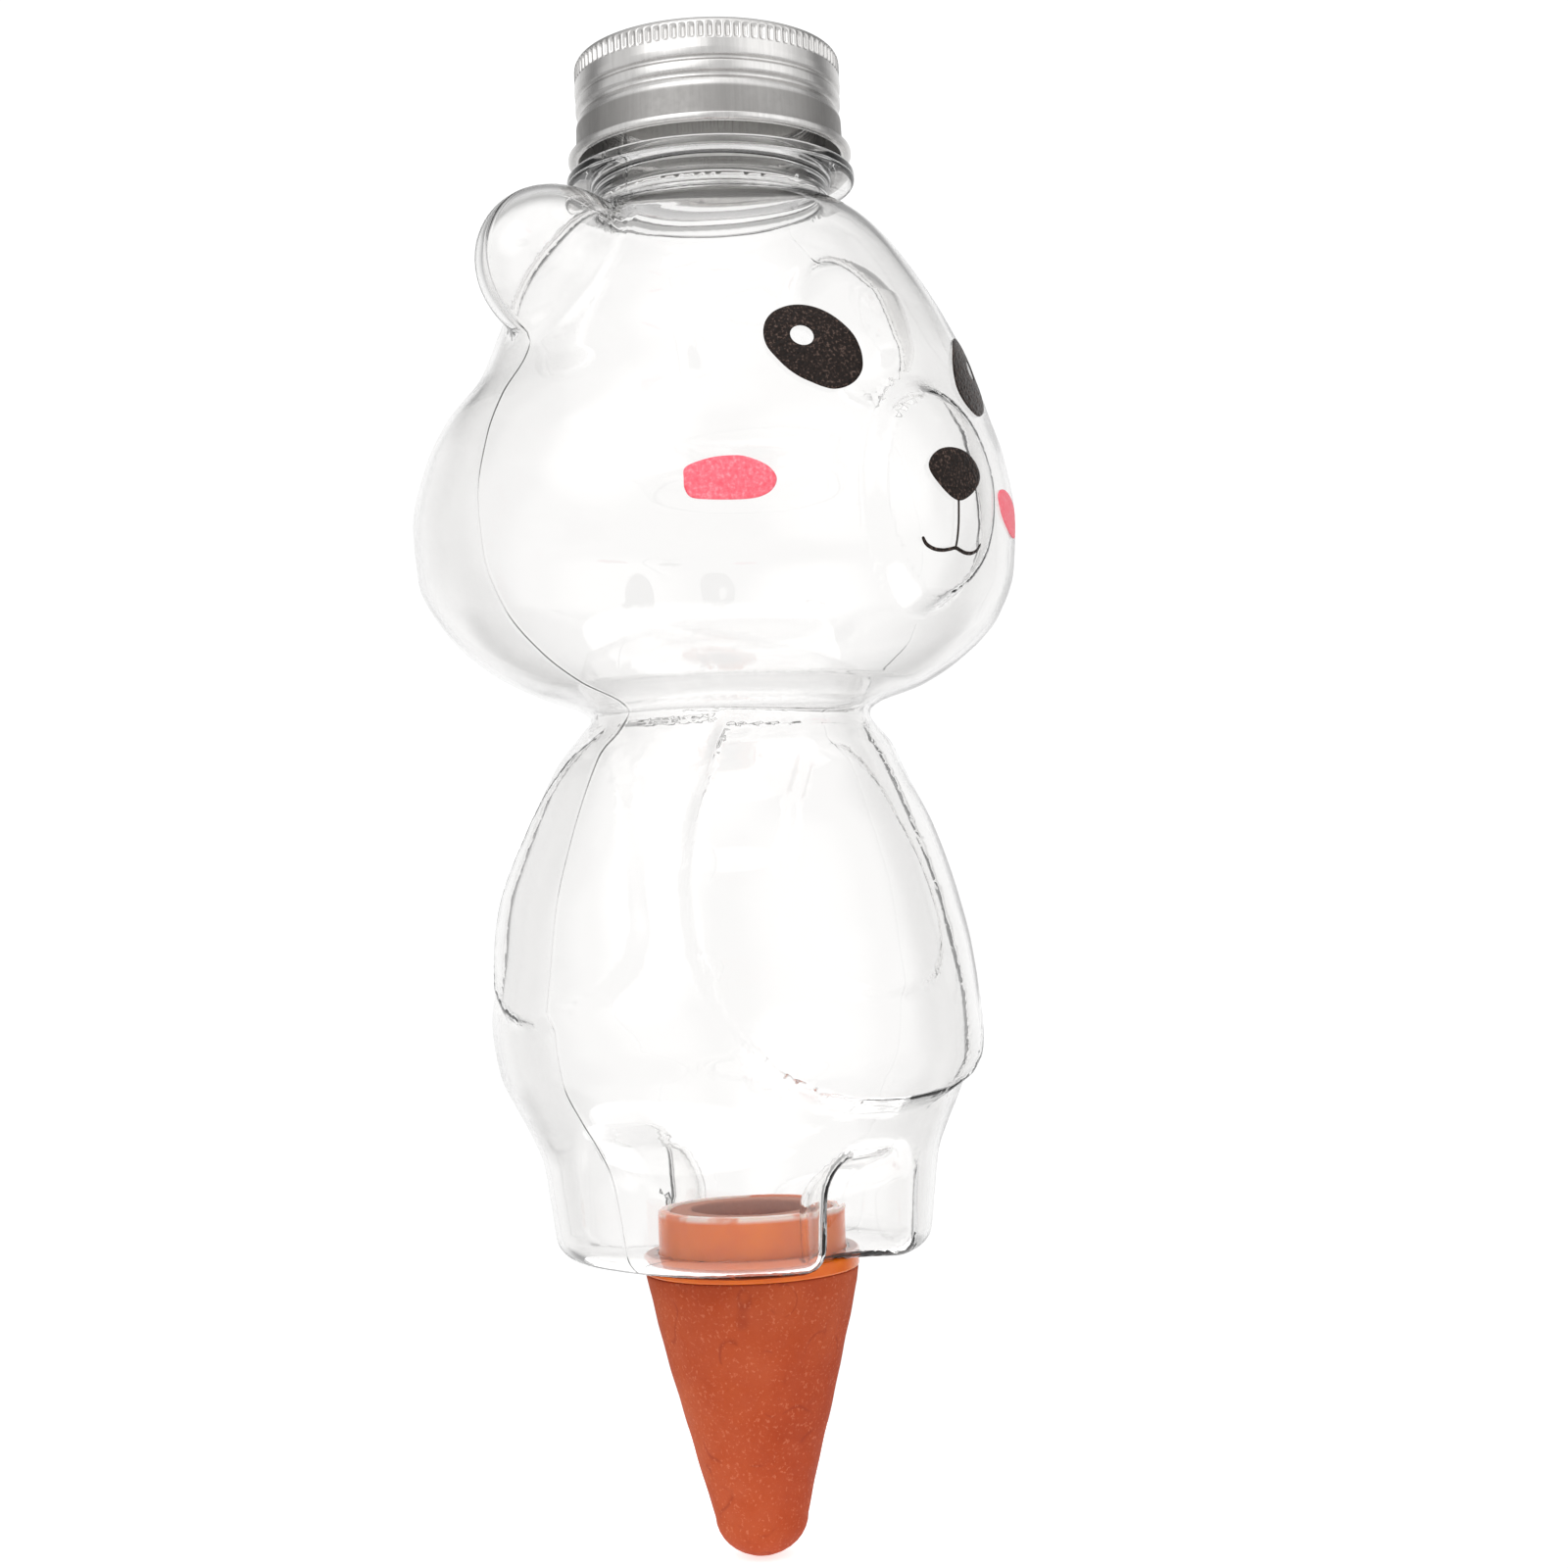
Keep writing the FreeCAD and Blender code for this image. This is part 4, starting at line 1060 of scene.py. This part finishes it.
def make_cone():
    tip = [(6.8 * math.cos(math.radians(a)), -35.4 - 5.8 * math.sin(math.radians(a))) for a in (10, 20, 30, 40, 50, 60, 70, 78, 85)]
    outer = [(8.6, 8.8), (11.6, 8.8), (11.95, 8.4), (11.95, 0.0)] + CONE
    outer = dense(rounded(outer, [0.3, 0.2, 0.1, 0.35, 0.6] + [0] * 6), 0.9) + tip + [(0.0, -41.2)]
    bore = [(0.0, -34.0), (1.5, -33.7), (2.7, -32.7)] + dense([(3.4, -31.0), (5.6, -20.0), (8.0, -8.0), (8.6, -1.0), (8.6, 8.4)], 2.0)

    def shift(r, z, phi):
        k = np.clip(-z / 2.0, 0.0, 1.0)
        w = (0.05 * np.sin(3 * phi + 0.35 * z) + 0.04 * np.sin(7 * phi - 0.21 * z + 1.0) + 0.03 * np.sin(2 * phi + 0.9 * z))
        return r + k * w * np.minimum(r / 6.0, 1.0) - k * 0.08, z

    ob = lathe("cone", outer + bore, 168, shift, closed=False)
    # close the ring between the bore's mouth and the rim
    bm = bmesh.new()
    bm.from_mesh(ob.data)
    loops = boundary_loops(bm)
    if len(loops) == 2:
        bmesh.ops.bridge_loops(bm, edges=loops[0] + loops[1])
    bmesh.ops.recalc_face_normals(bm, faces=bm.faces)
    for f in bm.faces:
        f.smooth = True
    print("cone open edges", sum(1 for e in bm.edges if len(e.link_faces) != 2))
    bm.to_mesh(ob.data)
    bm.free()
    use(ob, CLAY)
    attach(ob, "spike")
    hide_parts("terracotta_cone")


make_bottle()
make_prints()
make_cap()
make_collar()
make_cone()

# ---------------------------------------------------------------- floor, light and camera
fm, fnt, fp = material("pale_floor")
fp.inputs["Base Color"].default_value = (0.93, 0.93, 0.93, 1)
fp.inputs["Roughness"].default_value = 0.9
fp.inputs["Emission Color"].default_value = (1, 1, 1, 1)
fp.inputs["Emission Strength"].default_value = 0.62
bm = bmesh.new()
bmesh.ops.create_circle(bm, cap_ends=True, segments=96, radius=0.085)
me = bpy.data.meshes.new("floor")
bm.to_mesh(me)
bm.free()
floor = bpy.data.objects.new("floor", me)
floor.location = (0, 0, -0.0415)
bpy.context.collection.objects.link(floor)
use(floor, fm)

scene = bpy.context.scene
world = bpy.data.worlds.new("studio")
scene.world = world
world.use_nodes = True
wn = world.node_tree
bg = wn.nodes["Background"]
wtc = node(wn, "ShaderNodeTexCoord")
dot = node(wn, "ShaderNodeVectorMath", operation="DOT_PRODUCT")
wn.links.new(wtc.outputs["Generated"], dot.inputs[0])
dot.inputs[1].default_value = (0.7071, 0.7071, 0.0)
behind = map_range(wn, dot.outputs["Value"], 0.38, 0.90, 0.0, 1.0)
ahead = map_range(wn, maths(wn, "MULTIPLY", dot.outputs["Value"], -1.0), -0.32, -0.02, 0.0, 0.80)
wsep = node(wn, "ShaderNodeSeparateXYZ")
wn.links.new(wtc.outputs["Generated"], wsep.inputs[0])
behind = maths(wn, "MULTIPLY", behind, map_range(wn, wsep.outputs["Z"], 0.36, 0.50, 1.0, 0.08))
behind = maths(wn, "MULTIPLY", behind, map_range(wn, maths(wn, "MULTIPLY", wsep.outputs["Z"], -1.0), 0.26, 0.46, 1.0, 0.15))
up = map_range(wn, wsep.outputs["Z"], 0.62, 0.95, 0.0, 0.80)
low = map_range(wn, maths(wn, "MULTIPLY", wsep.outputs["Z"], -1.0), 0.30, 0.95, 0.0, 0.62)
level = maths(wn, "MAXIMUM", maths(wn, "MAXIMUM", behind, up), maths(wn, "MAXIMUM", ahead, low))
strength = map_range(wn, level, 0.0, 1.0, 0.32, 1.0, kind="LINEAR")
for aim, lo, hi, power in (((-0.83, -0.22, 0.52), 0.82, 0.995, 1.2), ((0.10, -0.95, 0.30), 0.84, 0.995, 0.6), ((-0.30, -0.35, 0.89), 0.82, 0.995, 0.6)):
    v = Vector(aim).normalized()
    lobe = node(wn, "ShaderNodeVectorMath", operation="DOT_PRODUCT")
    wn.links.new(wtc.outputs["Generated"], lobe.inputs[0])
    lobe.inputs[1].default_value = tuple(v)
    strength = maths(wn, "ADD", strength, map_range(wn, lobe.outputs["Value"], lo, hi, 0.0, power))
wlp = node(wn, "ShaderNodeLightPath")
wmix = node(wn, "ShaderNodeMix", data_type="FLOAT")
wn.links.new(wlp.outputs["Is Camera Ray"], wmix.inputs[0])
wn.links.new(strength, wmix.inputs[2])
wmix.inputs[3].default_value = 1.10
wn.links.new(wmix.outputs[0], bg.inputs["Strength"])
bg.inputs["Color"].default_value = (1, 1, 1, 1)


DIST, CAM_Z, AZ = 344.0, 54.0, -45.0
YAW, PITCH, ROLL, FOCAL_PX = 1.23, 2.7, 2.25, 2389.0
a = math.radians(AZ)
fwd = Vector((-math.sin(a), math.cos(a), 0))
right = Vector((math.cos(a), math.sin(a), 0))
y, p, r = math.radians(YAW), math.radians(PITCH), math.radians(ROLL)
f1 = fwd * math.cos(y) + right * math.sin(y)
r1 = right * math.cos(y) - fwd * math.sin(y)
f2 = f1 * math.cos(p) + Vector((0, 0, 1)) * math.sin(p)
u2 = Vector((0, 0, 1)) * math.cos(p) - f1 * math.sin(p)
r3 = r1 * math.cos(r) - u2 * math.sin(r)
u3 = u2 * math.cos(r) + r1 * math.sin(r)
cam = bpy.data.cameras.new("camera")
cam.sensor_width = 36.0
cam.lens = FOCAL_PX / 1600.0 * 36.0
cam.clip_start = 0.01
cam.clip_end = 100.0
co = bpy.data.objects.new("camera", cam)
rot = Matrix((r3, u3, -f2)).transposed()
co.matrix_world = Matrix.Translation(Vector((DIST * math.sin(a), -DIST * math.cos(a), CAM_Z)) * MM) @ rot.to_4x4()
bpy.context.collection.objects.link(co)
scene.camera = co
scene.view_settings.view_transform = "Standard"
scene.view_settings.look = "None"
